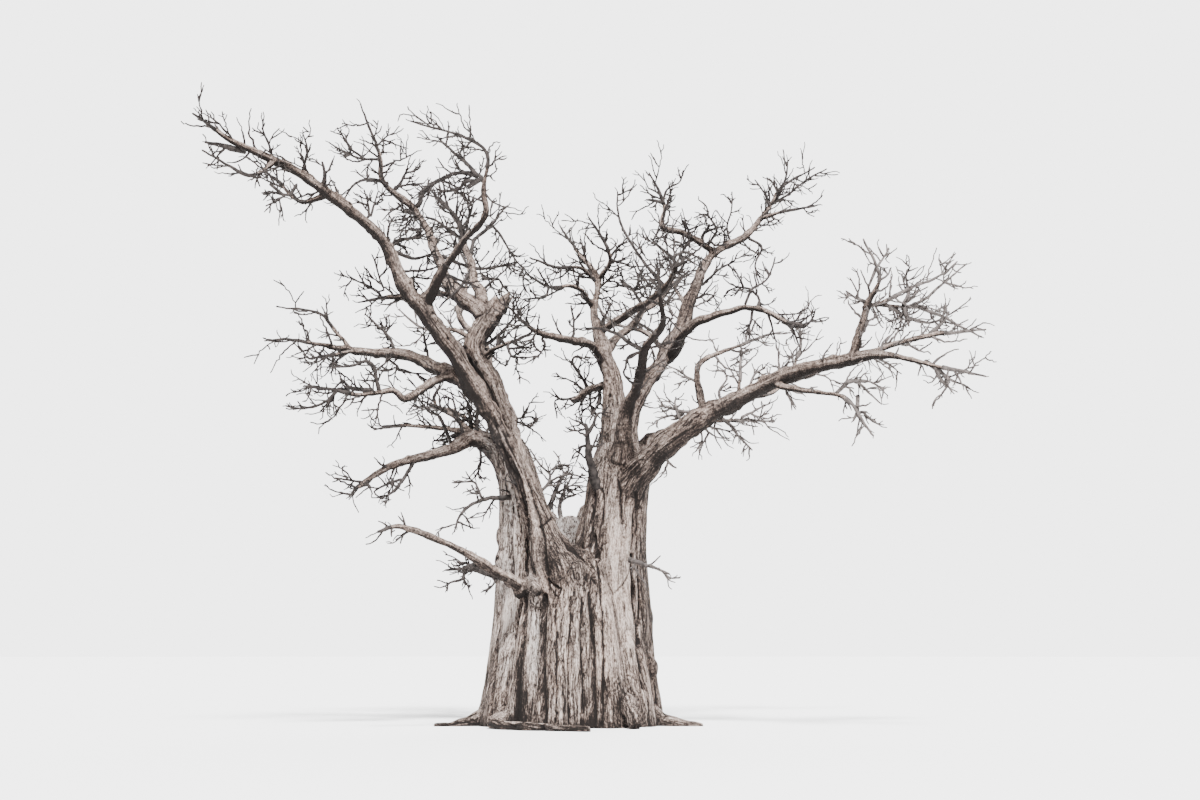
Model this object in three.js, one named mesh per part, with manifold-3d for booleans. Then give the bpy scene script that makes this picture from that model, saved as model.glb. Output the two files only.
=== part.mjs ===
// A bare baobab tree: a fluted trunk of fused columns that parts into two great stems and a small one
// behind them, with crooked boughs and sprays of leafless twigs. Millimetres, +Z up, +Y to the back,
// with the origin in the middle of the flat cut at ground level.
import * as THREE from 'three';
import { mergeVertices } from 'three/addons/utils/BufferGeometryUtils.js';
import Module from 'manifold-3d';

const wasm = await Module();
wasm.setup();

// Driving sizes
const metre = 1000;
const forkHeight = 4.85 * metre;
const gap = 0.35; // clearance where two pieces meet
const twigClearance = 30; // least room between a twig and any other piece
const groundDepth = 0.4 * metre; // how far the feet run below the ground before the cut
const groundSpan = 16 * metre;

// Numbers of faces
const columnSides = 13;
const stemSides = 10;
const boughSides = 7;
const twigStemSides = 4;
const buttressSides = 7;
const twigSides = 3;

// The rule by which twigs leave a stem
const twigRule = {
  firstAt: 0.14, // share of the stem before its first twig
  lastAt: 0.97,
  turn: 137.5, // degrees round the stem from one twig to the next
  turnSway: 50,
  opening: [34, 66], // degrees between the stem and a twig
  length: [0.55, 1.15], // shares of the mass's reach
  spread: 1.05, // how far from the stem a tip may be, as a share of the reach
  rise: 0.3, // how much a twig lifts towards the sky
  kink: 0.22, // sideways bend at its middle, as a share of its length
  foot: 32, // largest half thickness of a foot in mm
  footShare: 0.6, // that half thickness beside its parent's
  middleShare: 0.75,
  offshootEvery: 3,
  offshootShare: 0.5, // an offshoot's length beside its twig's
  offshootAt: 0.55,
};

const bark = { color: 0xb5a69d, roughness: 0.95, metalness: 0 };
const boughBark = { color: 0x98877e, roughness: 0.95, metalness: 0 };
const twigBark = { color: 0x6f615b, roughness: 0.9, metalness: 0 };

// Routes run from foot to tip. Each point is [across, back, up, half thickness], in metres.
const columns = {
  left: {
    route: [[-1.3, 0.1, -0.4, 1.14], [-1.27, 0.1, 0.7, 1.06], [-1.14, 0.05, 2.6, 0.95], [-1.1, 0.05, 4.3, 0.85],
      [-1.22, 0.1, 5.6, 0.68], [-1.44, 0.15, 6.9, 0.48], [-1.62, 0.25, 7.6, 0.34]],
    flutes: 5,
  },
  right: {
    route: [[1.25, 0.1, -0.4, 1.2], [1.22, 0.1, 0.7, 1.12], [1.16, 0.1, 2.6, 1.06], [1.1, 0.1, 4.3, 1.0],
      [1.22, 0.1, 5.6, 0.87], [1.33, 0.1, 6.7, 0.76], [1.36, 0.1, 7.5, 0.5]],
    flutes: 6,
  },
  middle: {
    route: [[-0.1, -0.95, -0.4, 1.12], [-0.08, -0.92, 0.7, 1.05], [0.02, -0.85, 2.6, 0.96],
      [0.14, -0.8, 3.7, 0.84], [0.08, -0.7, 4.55, 0.42]],
    flutes: 4,
  },
  back: {
    route: [[0.1, 1.0, -0.4, 1.25], [0.1, 1.0, 0.7, 1.15], [0.06, 1.0, 2.6, 1.05], [0, 1.05, 4.3, 0.9],
      [0.02, 1.35, 5.5, 0.5]],
    flutes: 5,
  },
  core: {
    route: [[0, 0.05, -0.4, 1.72], [0, 0.05, 2.6, 1.45], [0, 0.1, 4.2, 0.8], [0, 0.2, 4.6, 0.4]],
    flutes: 0,
  },
};

// Folds and buttresses round the foot: bearing in degrees from +X, half thickness and height in metres.
const trunkPlan = { across: 2.42, back: 2.15 };
const buttresses = [
  { bearing: 8, girth: 0.52, height: 3.2 },
  { bearing: 52, girth: 0.62, height: 3.1 },
  { bearing: 96, girth: 0.55, height: 2.2 },
  { bearing: 134, girth: 0.66, height: 3.3 },
  { bearing: 172, girth: 0.52, height: 1.9 },
  { bearing: 207, girth: 0.54, height: 2.9 },
  { bearing: 236, girth: 0.44, height: 4.1 },
  { bearing: 262, girth: 0.5, height: 3.2 },
  { bearing: 300, girth: 0.6, height: 4.3 },
  { bearing: 333, girth: 0.5, height: 3.2 },
];
const surfaceRoots = [
  [[-1.6, -1.3, 0.2, 0.3], [-1.75, -2.2, 0.05, 0.13], [-1.0, -3.0, 0.02, 0.12], [0.55, -3.7, 0.02, 0.09]],
  [[-1.9, -0.3, 0.25, 0.4], [-2.6, -0.6, 0.06, 0.17], [-3.5, -0.8, 0.01, 0.08]],
  [[1.9, -0.3, 0.25, 0.42], [2.65, -0.6, 0.08, 0.2], [3.5, -0.7, 0.01, 0.08]],
  [[1.5, -1.3, 0.6, 0.3], [1.66, -2.05, 0.36, 0.2], [1.72, -2.4, 0.03, 0.17]],
  [[0.9, 1.6, 0.3, 0.4], [1.5, 2.6, 0.08, 0.18], [2.3, 3.2, 0.01, 0.08]],
  [[-0.9, 1.6, 0.3, 0.4], [-1.6, 2.4, 0.08, 0.18], [-2.6, 2.7, 0.01, 0.08]],
];

// Limbs. Spans before `fused` belong to a great stem, those up to `bough` are the bough, and the rest is
// the stem of its mass of twigs. A limb with no `bough` is all twig stem, and one that is `of` another
// is a side shoot in that one's mass.
const limbs = {
  long_left: {
    fused: 3, bough: 8, reach: 1.15, twigs: 10, seed: 11, stem: 'left',
    route: [[-0.85, -0.95, 3.9, 0.22], [-0.85, -0.95, 4.8, 0.27], [-1.2, -1.0, 6.3, 0.36], [-1.85, -1.1, 7.9, 0.3],
      [-2.6, -1.3, 9.05, 0.24], [-3.4, -1.7, 10.25, 0.27], [-4.35, -2.2, 11.5, 0.2], [-4.9, -2.6, 12.6, 0.17],
      [-5.75, -3.0, 13.3, 0.15], [-7.0, -3.5, 14.15, 0.12], [-8.5, -4.1, 14.75, 0.07], [-9.45, -4.5, 15.35, 0.02]],
  },
  long_left_low: {
    of: 'long_left', reach: 0.8, twigs: 6, seed: 13,
    route: [[-6.25, -3.2, 13.6, 0.08], [-6.95, -2.9, 13.5, 0.06], [-7.6, -2.6, 14.1, 0.045], [-8.1, -2.4, 14.5, 0.015]],
  },
  long_left_end: {
    of: 'long_left', reach: 0.7, twigs: 5, seed: 17,
    route: [[-7.5, -3.7, 14.35, 0.07], [-7.95, -4.2, 13.8, 0.05], [-8.45, -4.5, 13.95, 0.035], [-9.1, -4.8, 14.3, 0.015]],
  },
  broken_leader: {
    fused: 4, bough: 7, stem: 'left',
    route: [[0.1, -0.75, 2.8, 0.6], [-0.05, -1.0, 3.8, 0.62], [-0.5, -0.95, 4.7, 0.47], [-1.15, -0.75, 6.25, 0.37],
      [-1.62, -0.5, 7.75, 0.3], [-2.1, -0.3, 9.1, 0.27], [-2.6, -0.1, 10.2, 0.27], [-1.85, 0.1, 11.6, 0.2]],
  },
  leader_spray: {
    reach: 1.0, twigs: 9, seed: 19,
    route: [[-2.5, -0.1, 9.85, 0.07], [-1.75, -0.8, 10.1, 0.055], [-1.3, -1.3, 10.15, 0.04], [-0.95, -1.7, 10.3, 0.015]],
  },
  high_left: {
    bough: 3, reach: 1.1, twigs: 8, seed: 23,
    route: [[-2.4, 0.0, 11.1, 0.24], [-3.05, 0.5, 11.75, 0.22], [-3.6, 0.9, 12.55, 0.13], [-4.35, 1.6, 14.3, 0.11],
      [-5.35, 1.4, 15.2, 0.08], [-5.55, 1.1, 16.1, 0.05], [-6.0, 0.7, 17.35, 0.015]],
  },
  high_left_back: {
    of: 'high_left', reach: 0.6, twigs: 4, seed: 27,
    route: [[-5.3, 1.4, 15.2, 0.05], [-5.85, 1.9, 15.5, 0.04], [-6.35, 2.3, 15.45, 0.03], [-6.7, 2.6, 15.1, 0.015]],
  },
  high_left_front: {
    of: 'high_left', reach: 0.8, twigs: 4, seed: 29,
    route: [[-5.5, 1.15, 15.85, 0.04], [-6.0, 0.6, 15.75, 0.03], [-6.7, -0.3, 15.9, 0.012]],
  },
  crossing: {
    bough: 3, reach: 1.0, twigs: 8, seed: 31,
    route: [[-3.8, -1.9, 11.0, 0.2], [-3.0, -2.8, 12.1, 0.12], [-2.2, -3.6, 12.8, 0.1], [-2.15, -3.9, 13.6, 0.07],
      [-2.05, -4.0, 14.4, 0.045], [-2.55, -4.2, 14.8, 0.035], [-3.95, -4.5, 15.15, 0.015]],
  },
  crossing_back: {
    of: 'crossing', reach: 0.8, twigs: 4, seed: 37,
    route: [[-2.15, -3.9, 13.75, 0.05], [-2.7, -3.6, 14.4, 0.045], [-3.4, -3.2, 15.15, 0.015]],
  },
  crossing_low: {
    of: 'crossing', reach: 0.7, twigs: 5, seed: 39,
    route: [[-2.15, -3.93, 13.85, 0.06], [-2.8, -3.4, 14.1, 0.05], [-3.5, -2.9, 14.0, 0.045], [-3.9, -2.5, 13.65, 0.015]],
  },
  inner_left: {
    bough: 1, reach: 1.05, twigs: 8, seed: 41,
    route: [[-2.4, 0.2, 11.5, 0.16], [-2.85, 1.0, 12.8, 0.1], [-3.15, 2.0, 13.8, 0.08], [-3.45, 2.8, 14.6, 0.05],
      [-4.0, 3.6, 15.4, 0.015]],
  },
  inner_left_side: {
    of: 'inner_left', reach: 1.0, twigs: 6, seed: 43,
    route: [[-2.88, 1.08, 12.9, 0.06], [-2.75, 1.6, 13.6, 0.05], [-2.35, 2.4, 14.3, 0.04], [-1.95, 3.0, 14.95, 0.015]],
  },
  upper_left_arm: {
    bough: 4, reach: 1.1, twigs: 9, seed: 53,
    route: [[-2.55, -1.2, 8.85, 0.26], [-3.2, -0.7, 9.3, 0.22], [-3.85, -0.3, 9.7, 0.18], [-4.7, 0.2, 10.05, 0.15],
      [-5.85, 0.6, 10.15, 0.11], [-7.3, 1.0, 10.5, 0.05], [-8.65, 1.3, 10.6, 0.015]],
  },
  upper_left_high: {
    of: 'upper_left_arm', reach: 0.8, twigs: 5, seed: 59,
    route: [[-6.1, 0.68, 10.22, 0.055], [-6.75, 0.8, 11.0, 0.045], [-7.1, 0.9, 11.3, 0.035], [-8.3, 1.1, 11.55, 0.015]],
  },
  upper_left_low: {
    of: 'upper_left_arm', reach: 0.7, twigs: 4, seed: 60,
    route: [[-6.0, 0.64, 10.18, 0.06], [-6.4, 0.1, 10.0, 0.05], [-7.05, -0.4, 9.8, 0.015]],
  },
  middle_left_arm: {
    bough: 3, reach: 1.0, twigs: 9, seed: 61,
    route: [[-3.1, -0.8, 9.2, 0.15], [-3.5, -1.1, 9.1, 0.12], [-4.25, -1.9, 8.45, 0.1], [-4.6, -2.1, 8.65, 0.07],
      [-5.45, -2.4, 8.5, 0.055], [-6.75, -2.9, 8.65, 0.015]],
  },
  grey_arm: {
    fused: 2, bough: 4, reach: 0.9, twigs: 6, seed: 67, stem: 'left',
    route: [[-1.55, 0.3, 6.6, 0.38], [-2.05, 0.45, 7.43, 0.32], [-2.65, 0.3, 7.7, 0.23], [-3.25, 0.0, 7.34, 0.14],
      [-4.05, -0.4, 7.1, 0.13], [-4.9, -0.8, 6.75, 0.1], [-5.5, -1.1, 6.3, 0.06], [-5.8, -1.2, 5.95, 0.015]],
  },
  grey_arm_low: {
    of: 'grey_arm', reach: 0.6, twigs: 4, seed: 71,
    route: [[-4.15, -0.45, 7.05, 0.05], [-4.55, -1.0, 6.2, 0.04], [-4.95, -1.3, 5.9, 0.015]],
  },
  thin_left_arm: {
    of: 'shoulder_spray', reach: 0.7, twigs: 5, seed: 73,
    route: [[-2.6, 0.5, 7.88, 0.08], [-3.85, 0.7, 8.05, 0.06], [-4.75, 1.0, 8.15, 0.045], [-5.5, 1.2, 8.05, 0.015]],
  },
  shoulder_spray: {
    reach: 1.15, twigs: 9, seed: 79,
    route: [[-2.45, 0.36, 7.65, 0.11], [-3.2, 1.1, 8.35, 0.08], [-3.9, 1.9, 8.9, 0.05], [-3.8, 2.7, 9.6, 0.015]],
  },
  shoulder_shoot: {
    of: 'shoulder_spray', reach: 0.9, twigs: 5, seed: 80,
    route: [[-2.75, 0.7, 8.0, 0.06], [-2.85, 1.3, 8.7, 0.04], [-3.15, 1.5, 9.2, 0.015]],
  },
  low_left: {
    bough: 3, reach: 0.5, twigs: 6, seed: 83,
    route: [[-0.95, -0.85, 3.35, 0.27], [-1.75, -2.0, 3.9, 0.19], [-2.75, -2.7, 4.5, 0.13], [-3.65, -3.3, 4.85, 0.1],
      [-4.2, -3.6, 5.0, 0.07], [-4.65, -3.9, 4.85, 0.025]],
  },
  low_left_side: {
    reach: 0.6, twigs: 5, seed: 89,
    route: [[-1.3, -0.4, 3.75, 0.09], [-2.5, -1.5, 4.05, 0.05], [-3.15, -2.0, 4.0, 0.015]],
  },
  column_spray: {
    reach: 0.7, twigs: 5, seed: 97,
    route: [[-1.4, -0.1, 6.05, 0.07], [-2.3, -1.2, 5.9, 0.045], [-2.8, -1.6, 5.5, 0.03], [-2.95, -1.8, 5.0, 0.015]],
  },
  centre: {
    fused: 1, bough: 4, reach: 1.0, twigs: 8, seed: 101, stem: 'right',
    route: [[1.1, 0.3, 6.4, 0.52], [1.2, 0.2, 7.9, 0.36], [1.18, 0.2, 9.15, 0.26], [0.9, 0.4, 10.2, 0.22],
      [0.65, 0.7, 11.3, 0.1], [0.75, 0.9, 12.3, 0.08], [0.15, 1.6, 13.3, 0.05], [-0.35, 2.3, 14.2, 0.015]],
  },
  centre_left: {
    of: 'centre', reach: 0.9, twigs: 6, seed: 103,
    route: [[0.75, 0.9, 12.2, 0.07], [0.35, 0.8, 12.55, 0.055], [-0.4, 0.2, 12.5, 0.04], [-1.1, -0.4, 12.6, 0.015]],
  },
  centre_right: {
    of: 'centre', reach: 0.9, twigs: 6, seed: 107,
    route: [[0.75, 0.9, 12.25, 0.07], [1.1, 0.6, 12.75, 0.05], [0.85, 0.3, 13.4, 0.04], [0.5, 0.0, 13.85, 0.015]],
  },
  centre_low: {
    reach: 0.9, twigs: 6, seed: 109,
    route: [[0.6, 0.75, 11.5, 0.09], [0.15, 0.0, 11.85, 0.06], [-0.5, -0.7, 11.7, 0.04], [-1.15, -1.2, 11.95, 0.015]],
  },
  left_centre_arm: {
    bough: 2, reach: 0.95, twigs: 8, seed: 113,
    route: [[0.95, 0.35, 9.7, 0.16], [0.6, -0.15, 10.2, 0.13], [-0.6, -1.3, 10.25, 0.075], [-1.2, -1.9, 10.5, 0.04],
      [-1.6, -2.4, 10.85, 0.015]],
  },
  front_leader: {
    fused: 1, bough: 5, reach: 1.2, twigs: 9, seed: 127, stem: 'right',
    route: [[1.4, -0.4, 7.0, 0.33], [1.5, -0.85, 8.2, 0.17], [1.8, -1.4, 8.85, 0.13], [1.92, -2.0, 9.25, 0.12],
      [2.0, -2.8, 9.65, 0.11], [2.4, -3.7, 10.1, 0.09], [2.3, -4.6, 10.7, 0.05], [2.2, -5.4, 11.4, 0.015]],
  },
  cross_arm: {
    bough: 2, reach: 1.1, twigs: 8, seed: 131,
    route: [[0.95, 0.4, 10.1, 0.14], [1.6, 1.3, 11.0, 0.11], [2.45, 2.6, 12.05, 0.08], [2.85, 3.2, 12.5, 0.045],
      [3.5, 4.2, 13.3, 0.015]],
  },
  pale_arm: {
    bough: 2, reach: 1.1, twigs: 9, seed: 137,
    route: [[0.78, 0.55, 10.75, 0.13], [1.65, -0.2, 11.05, 0.11], [2.5, -1.2, 11.5, 0.08], [2.85, -1.8, 12.1, 0.05],
      [2.15, -2.4, 12.65, 0.015]],
  },
  pale_arm_shoot: {
    of: 'pale_arm', reach: 0.9, twigs: 5, seed: 139,
    route: [[2.55, -1.28, 11.6, 0.05], [2.0, -1.0, 12.4, 0.035], [1.4, -0.7, 13.5, 0.025], [1.3, -0.6, 14.4, 0.012]],
  },
  right_leader: {
    fused: 1, bough: 5, reach: 1.0, twigs: 10, seed: 149, stem: 'right',
    route: [[1.35, 0.2, 6.9, 0.45], [1.67, 0.3, 8.45, 0.26], [2.15, 0.5, 9.3, 0.22], [3.05, 1.2, 10.7, 0.19],
      [3.45, 1.9, 12.0, 0.16], [4.1, 2.65, 13.4, 0.13], [5.2, 3.2, 14.15, 0.1], [5.95, 3.7, 15.2, 0.06],
      [6.3, 4.1, 15.85, 0.04], [7.4, 4.5, 16.6, 0.015]],
  },
  right_leader_left: {
    of: 'right_leader', reach: 1.0, twigs: 10, seed: 151,
    route: [[4.2, 2.7, 13.5, 0.1], [3.3, 2.4, 13.95, 0.09], [2.6, 2.2, 14.15, 0.08], [2.7, 2.15, 14.8, 0.055],
      [2.25, 2.0, 15.7, 0.015]],
  },
  right_leader_side: {
    of: 'right_leader', reach: 0.6, twigs: 4, seed: 152,
    route: [[5.6, 3.45, 14.7, 0.06], [6.15, 3.0, 14.75, 0.05], [7.2, 2.4, 14.85, 0.015]],
  },
  right_arm: {
    bough: 3, reach: 0.85, twigs: 8, seed: 157,
    route: [[2.75, 0.85, 10.05, 0.17], [3.1, 0.0, 10.6, 0.13], [4.35, -0.6, 11.05, 0.1], [5.05, -1.0, 11.05, 0.08],
      [5.8, -1.6, 10.55, 0.05], [6.25, -2.0, 10.4, 0.02]],
  },
  stubby_arm: {
    reach: 0.8, twigs: 6, seed: 163,
    route: [[1.1, 0.25, 9.2, 0.1], [0.6, 0.9, 9.2, 0.09], [0.15, 1.5, 8.95, 0.03]],
  },
  great_right: {
    fused: 1, bough: 5, reach: 0.9, twigs: 8, seed: 167, stem: 'right',
    route: [[1.5, -0.2, 6.2, 0.5], [2.2, -0.7, 7.05, 0.37], [3.45, -1.4, 7.98, 0.3], [4.85, -2.1, 8.66, 0.21],
      [5.95, -2.7, 9.08, 0.17], [7.2, -3.3, 9.27, 0.15], [8.05, -3.8, 9.27, 0.08], [9.25, -4.5, 8.85, 0.05],
      [10.2, -5.0, 8.55, 0.015]],
  },
  right_post: {
    reach: 0.95, twigs: 9, seed: 173,
    route: [[7.12, -3.26, 9.25, 0.11], [7.38, -3.5, 10.05, 0.1], [7.5, -3.7, 10.55, 0.08], [7.8, -4.0, 11.3, 0.04],
      [7.45, -4.1, 12.2, 0.015]],
  },
  right_broom: {
    of: 'right_post', reach: 0.9, twigs: 9, seed: 179,
    route: [[7.5, -3.65, 10.55, 0.07], [8.0, -3.3, 10.7, 0.055], [9.0, -2.6, 10.85, 0.04], [10.6, -1.6, 12.15, 0.012]],
  },
  right_end: {
    reach: 0.95, twigs: 9, seed: 181,
    route: [[7.1, -3.2, 9.3, 0.1], [8.3, -3.0, 9.7, 0.08], [9.4, -2.6, 10.05, 0.06], [10.9, -2.2, 10.25, 0.015]],
  },
  hanging_right: {
    reach: 0.7, twigs: 6, seed: 191,
    route: [[5.3, -2.4, 8.8, 0.08], [5.95, -3.0, 8.5, 0.065], [6.9, -3.8, 8.2, 0.05], [7.5, -4.6, 7.15, 0.015]],
  },
  upright_right: {
    bough: 2, reach: 0.85, twigs: 8, seed: 193,
    route: [[3.6, -1.4, 8.1, 0.13], [3.4, -1.2, 9.05, 0.085], [3.55, -1.0, 9.65, 0.07], [4.65, -0.2, 10.2, 0.045],
      [5.85, 0.5, 10.7, 0.015]],
  },
  low_right_spray: {
    reach: 0.8, twigs: 6, seed: 197,
    route: [[3.6, -1.4, 7.95, 0.06], [4.5, -0.8, 8.05, 0.045], [5.55, -0.2, 8.1, 0.015]],
  },
  left_spur: {
    reach: 0.8, twigs: 5, seed: 199,
    route: [[-4.1, -2.05, 11.15, 0.1], [-4.85, -1.85, 11.2, 0.05], [-5.6, -1.6, 11.1, 0.015]],
  },
  back_right: {
    bough: 4, reach: 1.3, twigs: 9, seed: 211,
    route: [[1.5, 0.6, 6.75, 0.36], [2.5, 1.9, 7.8, 0.25], [3.7, 3.0, 8.6, 0.2], [5.2, 4.1, 9.3, 0.16],
      [6.6, 5.2, 9.95, 0.12], [7.3, 6.1, 11.3, 0.07], [7.15, 6.8, 12.5, 0.015]],
  },
  back_right_side: {
    of: 'back_right', reach: 1.1, twigs: 6, seed: 213,
    route: [[6.68, 5.28, 10.08, 0.08], [8.0, 5.3, 10.6, 0.06], [9.3, 6.1, 11.1, 0.04],
      [10.1, 6.5, 11.9, 0.015]],
  },
  back_left: {
    bough: 4, reach: 1.3, twigs: 9, seed: 223,
    route: [[-0.35, 1.3, 4.9, 0.4], [-1.15, 1.9, 6.35, 0.27], [-1.55, 3.1, 7.7, 0.22],
      [-2.35, 3.6, 9.1, 0.17], [-2.65, 4.9, 10.9, 0.13], [-3.5, 5.3, 12.25, 0.08],
      [-3.35, 6.4, 13.8, 0.05], [-4.0, 6.8, 15.15, 0.015]],
  },
  back_left_side: {
    of: 'back_left', reach: 1.1, twigs: 6, seed: 227,
    route: [[-2.7, 4.95, 11.05, 0.09], [-3.6, 4.8, 11.6, 0.07], [-4.6, 5.6, 11.75, 0.04],
      [-5.4, 5.4, 12.35, 0.015]],
  },
  back_left_low: {
    reach: 1.2, twigs: 9, seed: 229,
    route: [[-1.5, 3.05, 7.8, 0.11], [-2.5, 3.9, 8.2, 0.08], [-3.5, 4.3, 9.0, 0.06],
      [-4.8, 5.3, 9.3, 0.015]],
  },
  back_centre: {
    bough: 4, reach: 1.3, twigs: 9, seed: 233,
    route: [[0.25, 1.2, 4.9, 0.4], [1.1, 1.9, 6.9, 0.3], [1.4, 2.9, 8.25, 0.23], [2.05, 3.5, 9.5, 0.18],
      [2.7, 4.8, 10.9, 0.13], [3.4, 5.2, 12.2, 0.08], [3.1, 6.2, 13.6, 0.05],
      [3.7, 6.6, 15.0, 0.015]],
  },
  back_centre_side: {
    of: 'back_centre', reach: 1.2, twigs: 8, seed: 239,
    route: [[2.75, 4.85, 11.0, 0.09], [2.05, 5.6, 11.75, 0.07], [1.15, 6.0, 12.1, 0.05],
      [0.5, 6.9, 13.3, 0.015]],
  },
  back_spray: {
    reach: 0.8, twigs: 6, seed: 241,
    route: [[-0.2, 1.5, 5.2, 0.07], [-0.3, 2.0, 6.1, 0.05], [0.05, 2.6, 7.0, 0.015]],
  },
  column_shoot: {
    reach: 0.7, twigs: 6, seed: 251,
    route: [[0.8, -0.4, 6.2, 0.12], [0.58, -0.7, 7.0, 0.08], [0.45, -1.0, 7.9, 0.015]],
  },
  right_shoot: {
    reach: 0.45, twigs: 4, seed: 257,
    route: [[1.5, -0.6, 4.35, 0.07], [2.1, -1.5, 4.15, 0.04], [2.6, -2.0, 3.9, 0.018]],
  },
};

// The same draws in any language: a 32-bit generator started from a whole number.
function seeded(seed) {
  let state = seed >>> 0;
  return () => {
    state = (state + 0x6d2b79f5) >>> 0;
    let mixed = Math.imul(state ^ (state >>> 15), 1 | state);
    mixed = (mixed + Math.imul(mixed ^ (mixed >>> 7), 61 | mixed)) ^ mixed;
    return ((mixed ^ (mixed >>> 14)) >>> 0) / 4294967296;
  };
}

const between = ([low, high], share) => low + (high - low) * share;

// A limb's centre line, and its half thickness where the curve's parameter is u.
function limbLine(route) {
  const points = route.map(([x, y, z]) => new THREE.Vector3(x, y, z).multiplyScalar(metre));
  const curve = new THREE.CatmullRomCurve3(points, false, 'catmullrom', 0.5);
  const chord = points.at(-1).clone().sub(points[0]).normalize();
  const reference = Math.abs(chord.y) < 0.75 ? new THREE.Vector3(0, 1, 0) : new THREE.Vector3(1, 0, 0);
  return {
    spans: route.length - 1,
    reference,
    pointAt: (u) => curve.getPoint(u),
    tangentAt: (u) => curve.getTangent(u),
    girthAt(u) {
      const place = Math.min(u, 1) * (route.length - 1);
      const index = Math.min(Math.floor(place), route.length - 2);
      return between([route[index][3], route[index + 1][3]], place - index) * metre;
    },
  };
}

// A closed tube round a line from span `from` to span `to`: a capped cylinder, bent and tapered.
function limbGeometry(line, { from = 0, to = line.spans, sides, perSpan = 1.5, swell = 0, flutes = 0, lift = 0 }) {
  const steps = Math.max(1, Math.round((to - from) * perSpan));
  const geometry = new THREE.CylinderGeometry(1, 1, 1, sides, steps);
  const position = geometry.getAttribute('position');
  const fluteDepth = 0.07;
  for (let i = 0; i < position.count; i++) {
    const share = position.getY(i) + 0.5;
    const u = (from + (to - from) * share) / line.spans;
    const tangent = line.tangentAt(u);
    const outward = line.reference.clone().addScaledVector(tangent, -line.reference.dot(tangent)).normalize();
    const sideways = outward.clone().cross(tangent).negate();
    const bearing = Math.atan2(position.getX(i), position.getZ(i));
    const fluted = 1 + fluteDepth * Math.cos(flutes * bearing + 2 * u) * Math.sign(flutes);
    const girth = line.girthAt(u) * fluted + swell;
    const endShift = { 0: lift - swell, 1: swell }[share] ?? 0;
    const place = line.pointAt(u)
      .addScaledVector(tangent, endShift)
      .addScaledVector(sideways, position.getX(i) * girth)
      .addScaledVector(outward, position.getZ(i) * girth);
    position.setXYZ(i, place.x, place.y, place.z);
  }
  return geometry;
}

function solidOf(geometry) {
  const bare = geometry.clone();
  bare.deleteAttribute('normal');
  bare.deleteAttribute('uv');
  const merged = mergeVertices(bare, 1e-2);
  return new wasm.Manifold(new wasm.Mesh({
    numProp: 3,
    vertProperties: merged.getAttribute('position').array,
    triVerts: new Uint32Array(merged.getIndex().array),
  }));
}

const limbSolid = (line, options) => solidOf(limbGeometry(line, options));
const joined = (solids) => solids.reduce((whole, solid) => whole.add(solid));

// Cutting can leave scraps: the largest body is the piece.
function largestBody(solid) {
  return solid.decompose().reduce((best, body) => (body.volume() > best.volume() ? body : best));
}

function slab(bottom, top) {
  const box = new THREE.BoxGeometry(groundSpan, groundSpan, top - bottom);
  box.translate(0, 0, (top + bottom) / 2);
  return solidOf(box);
}

function meshOf(name, solid, material) {
  const { numProp, vertProperties, triVerts } = solid.getMesh();
  const positions = new Float32Array((vertProperties.length / numProp) * 3);
  for (let i = 0; i < positions.length / 3; i++) {
    positions.set(vertProperties.subarray(i * numProp, i * numProp + 3), i * 3);
  }
  const geometry = new THREE.BufferGeometry();
  geometry.setAttribute('position', new THREE.BufferAttribute(positions, 3));
  geometry.setIndex(new THREE.BufferAttribute(triVerts, 1));
  geometry.computeVertexNormals();
  const mesh = new THREE.Mesh(geometry, new THREE.MeshStandardMaterial(material));
  mesh.name = name;
  return mesh;
}

// Trunk: fused columns, buttresses and surface roots, cut flat at the ground and at the fork.
function buttressLine({ bearing, girth, height }) {
  const angle = THREE.MathUtils.degToRad(bearing);
  const lean = 0.42; // how far its top stands in from its foot, in metres
  const at = (inward, up, size) => [
    Math.cos(angle) * (trunkPlan.across - girth - inward),
    Math.sin(angle) * (trunkPlan.back - girth - inward),
    up,
    size,
  ];
  return limbLine([
    at(-0.08, -groundDepth / metre, girth * 1.15),
    at(0, 0.18 * height, girth),
    at(0.5 * lean, 0.6 * height, girth * 0.8),
    at(lean, height, girth * 0.3),
  ]);
}

const columnLines = Object.fromEntries(Object.entries(columns).map(([name, { route }]) => [name, limbLine(route)]));

function columnSolid(name, swell = 0) {
  return limbSolid(columnLines[name], { sides: columnSides, perSpan: 1, flutes: columns[name].flutes, swell });
}

function fusedParts(stem, swell = 0) {
  return Object.entries(limbs)
    .filter(([, limb]) => limb.stem === stem)
    .map(([, limb]) => limbSolid(limbLine(limb.route), { to: limb.fused, sides: stemSides, swell }));
}

function trunkSolid(swell = 0) {
  const parts = [
    ...Object.keys(columns).map((name) => columnSolid(name, swell)),
    ...buttresses.map((buttress) => limbSolid(buttressLine(buttress), { sides: buttressSides, perSpan: 1, swell })),
    ...surfaceRoots.map((root) => limbSolid(limbLine(root), { sides: 6, swell })),
    ...fusedParts('left', swell),
  ];
  return largestBody(joined(parts).intersect(slab(0, forkHeight + swell)));
}

function greatStem(side, swell = 0) {
  const above = slab(forkHeight + gap - swell, 30 * metre);
  return joined([columnSolid(side, swell), ...fusedParts(side, swell)]).intersect(above);
}

function backStem(swell = 0) {
  return columnSolid('back', swell).intersect(slab(forkHeight + gap - swell, 30 * metre));
}

// What later pieces are cut by: each earlier one, a gap larger all round.
const grown = [];
const pieces = [];
// Centre lines of all that is in place, as short straight lengths that twigs keep clear of.
const lengths = [];

const boxesTouch = (a, b) => [0, 1, 2].every((k) => a.min[k] <= b.max[k] && b.min[k] <= a.max[k]);

function cutClear(solid) {
  const box = solid.boundingBox();
  return grown.reduce((left, other) => (boxesTouch(box, other.boundingBox()) ? left.subtract(other) : left), solid);
}

function place(name, solid, swollen, material) {
  pieces.push(meshOf(name, solid, material));
  grown.push(swollen);
}

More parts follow.
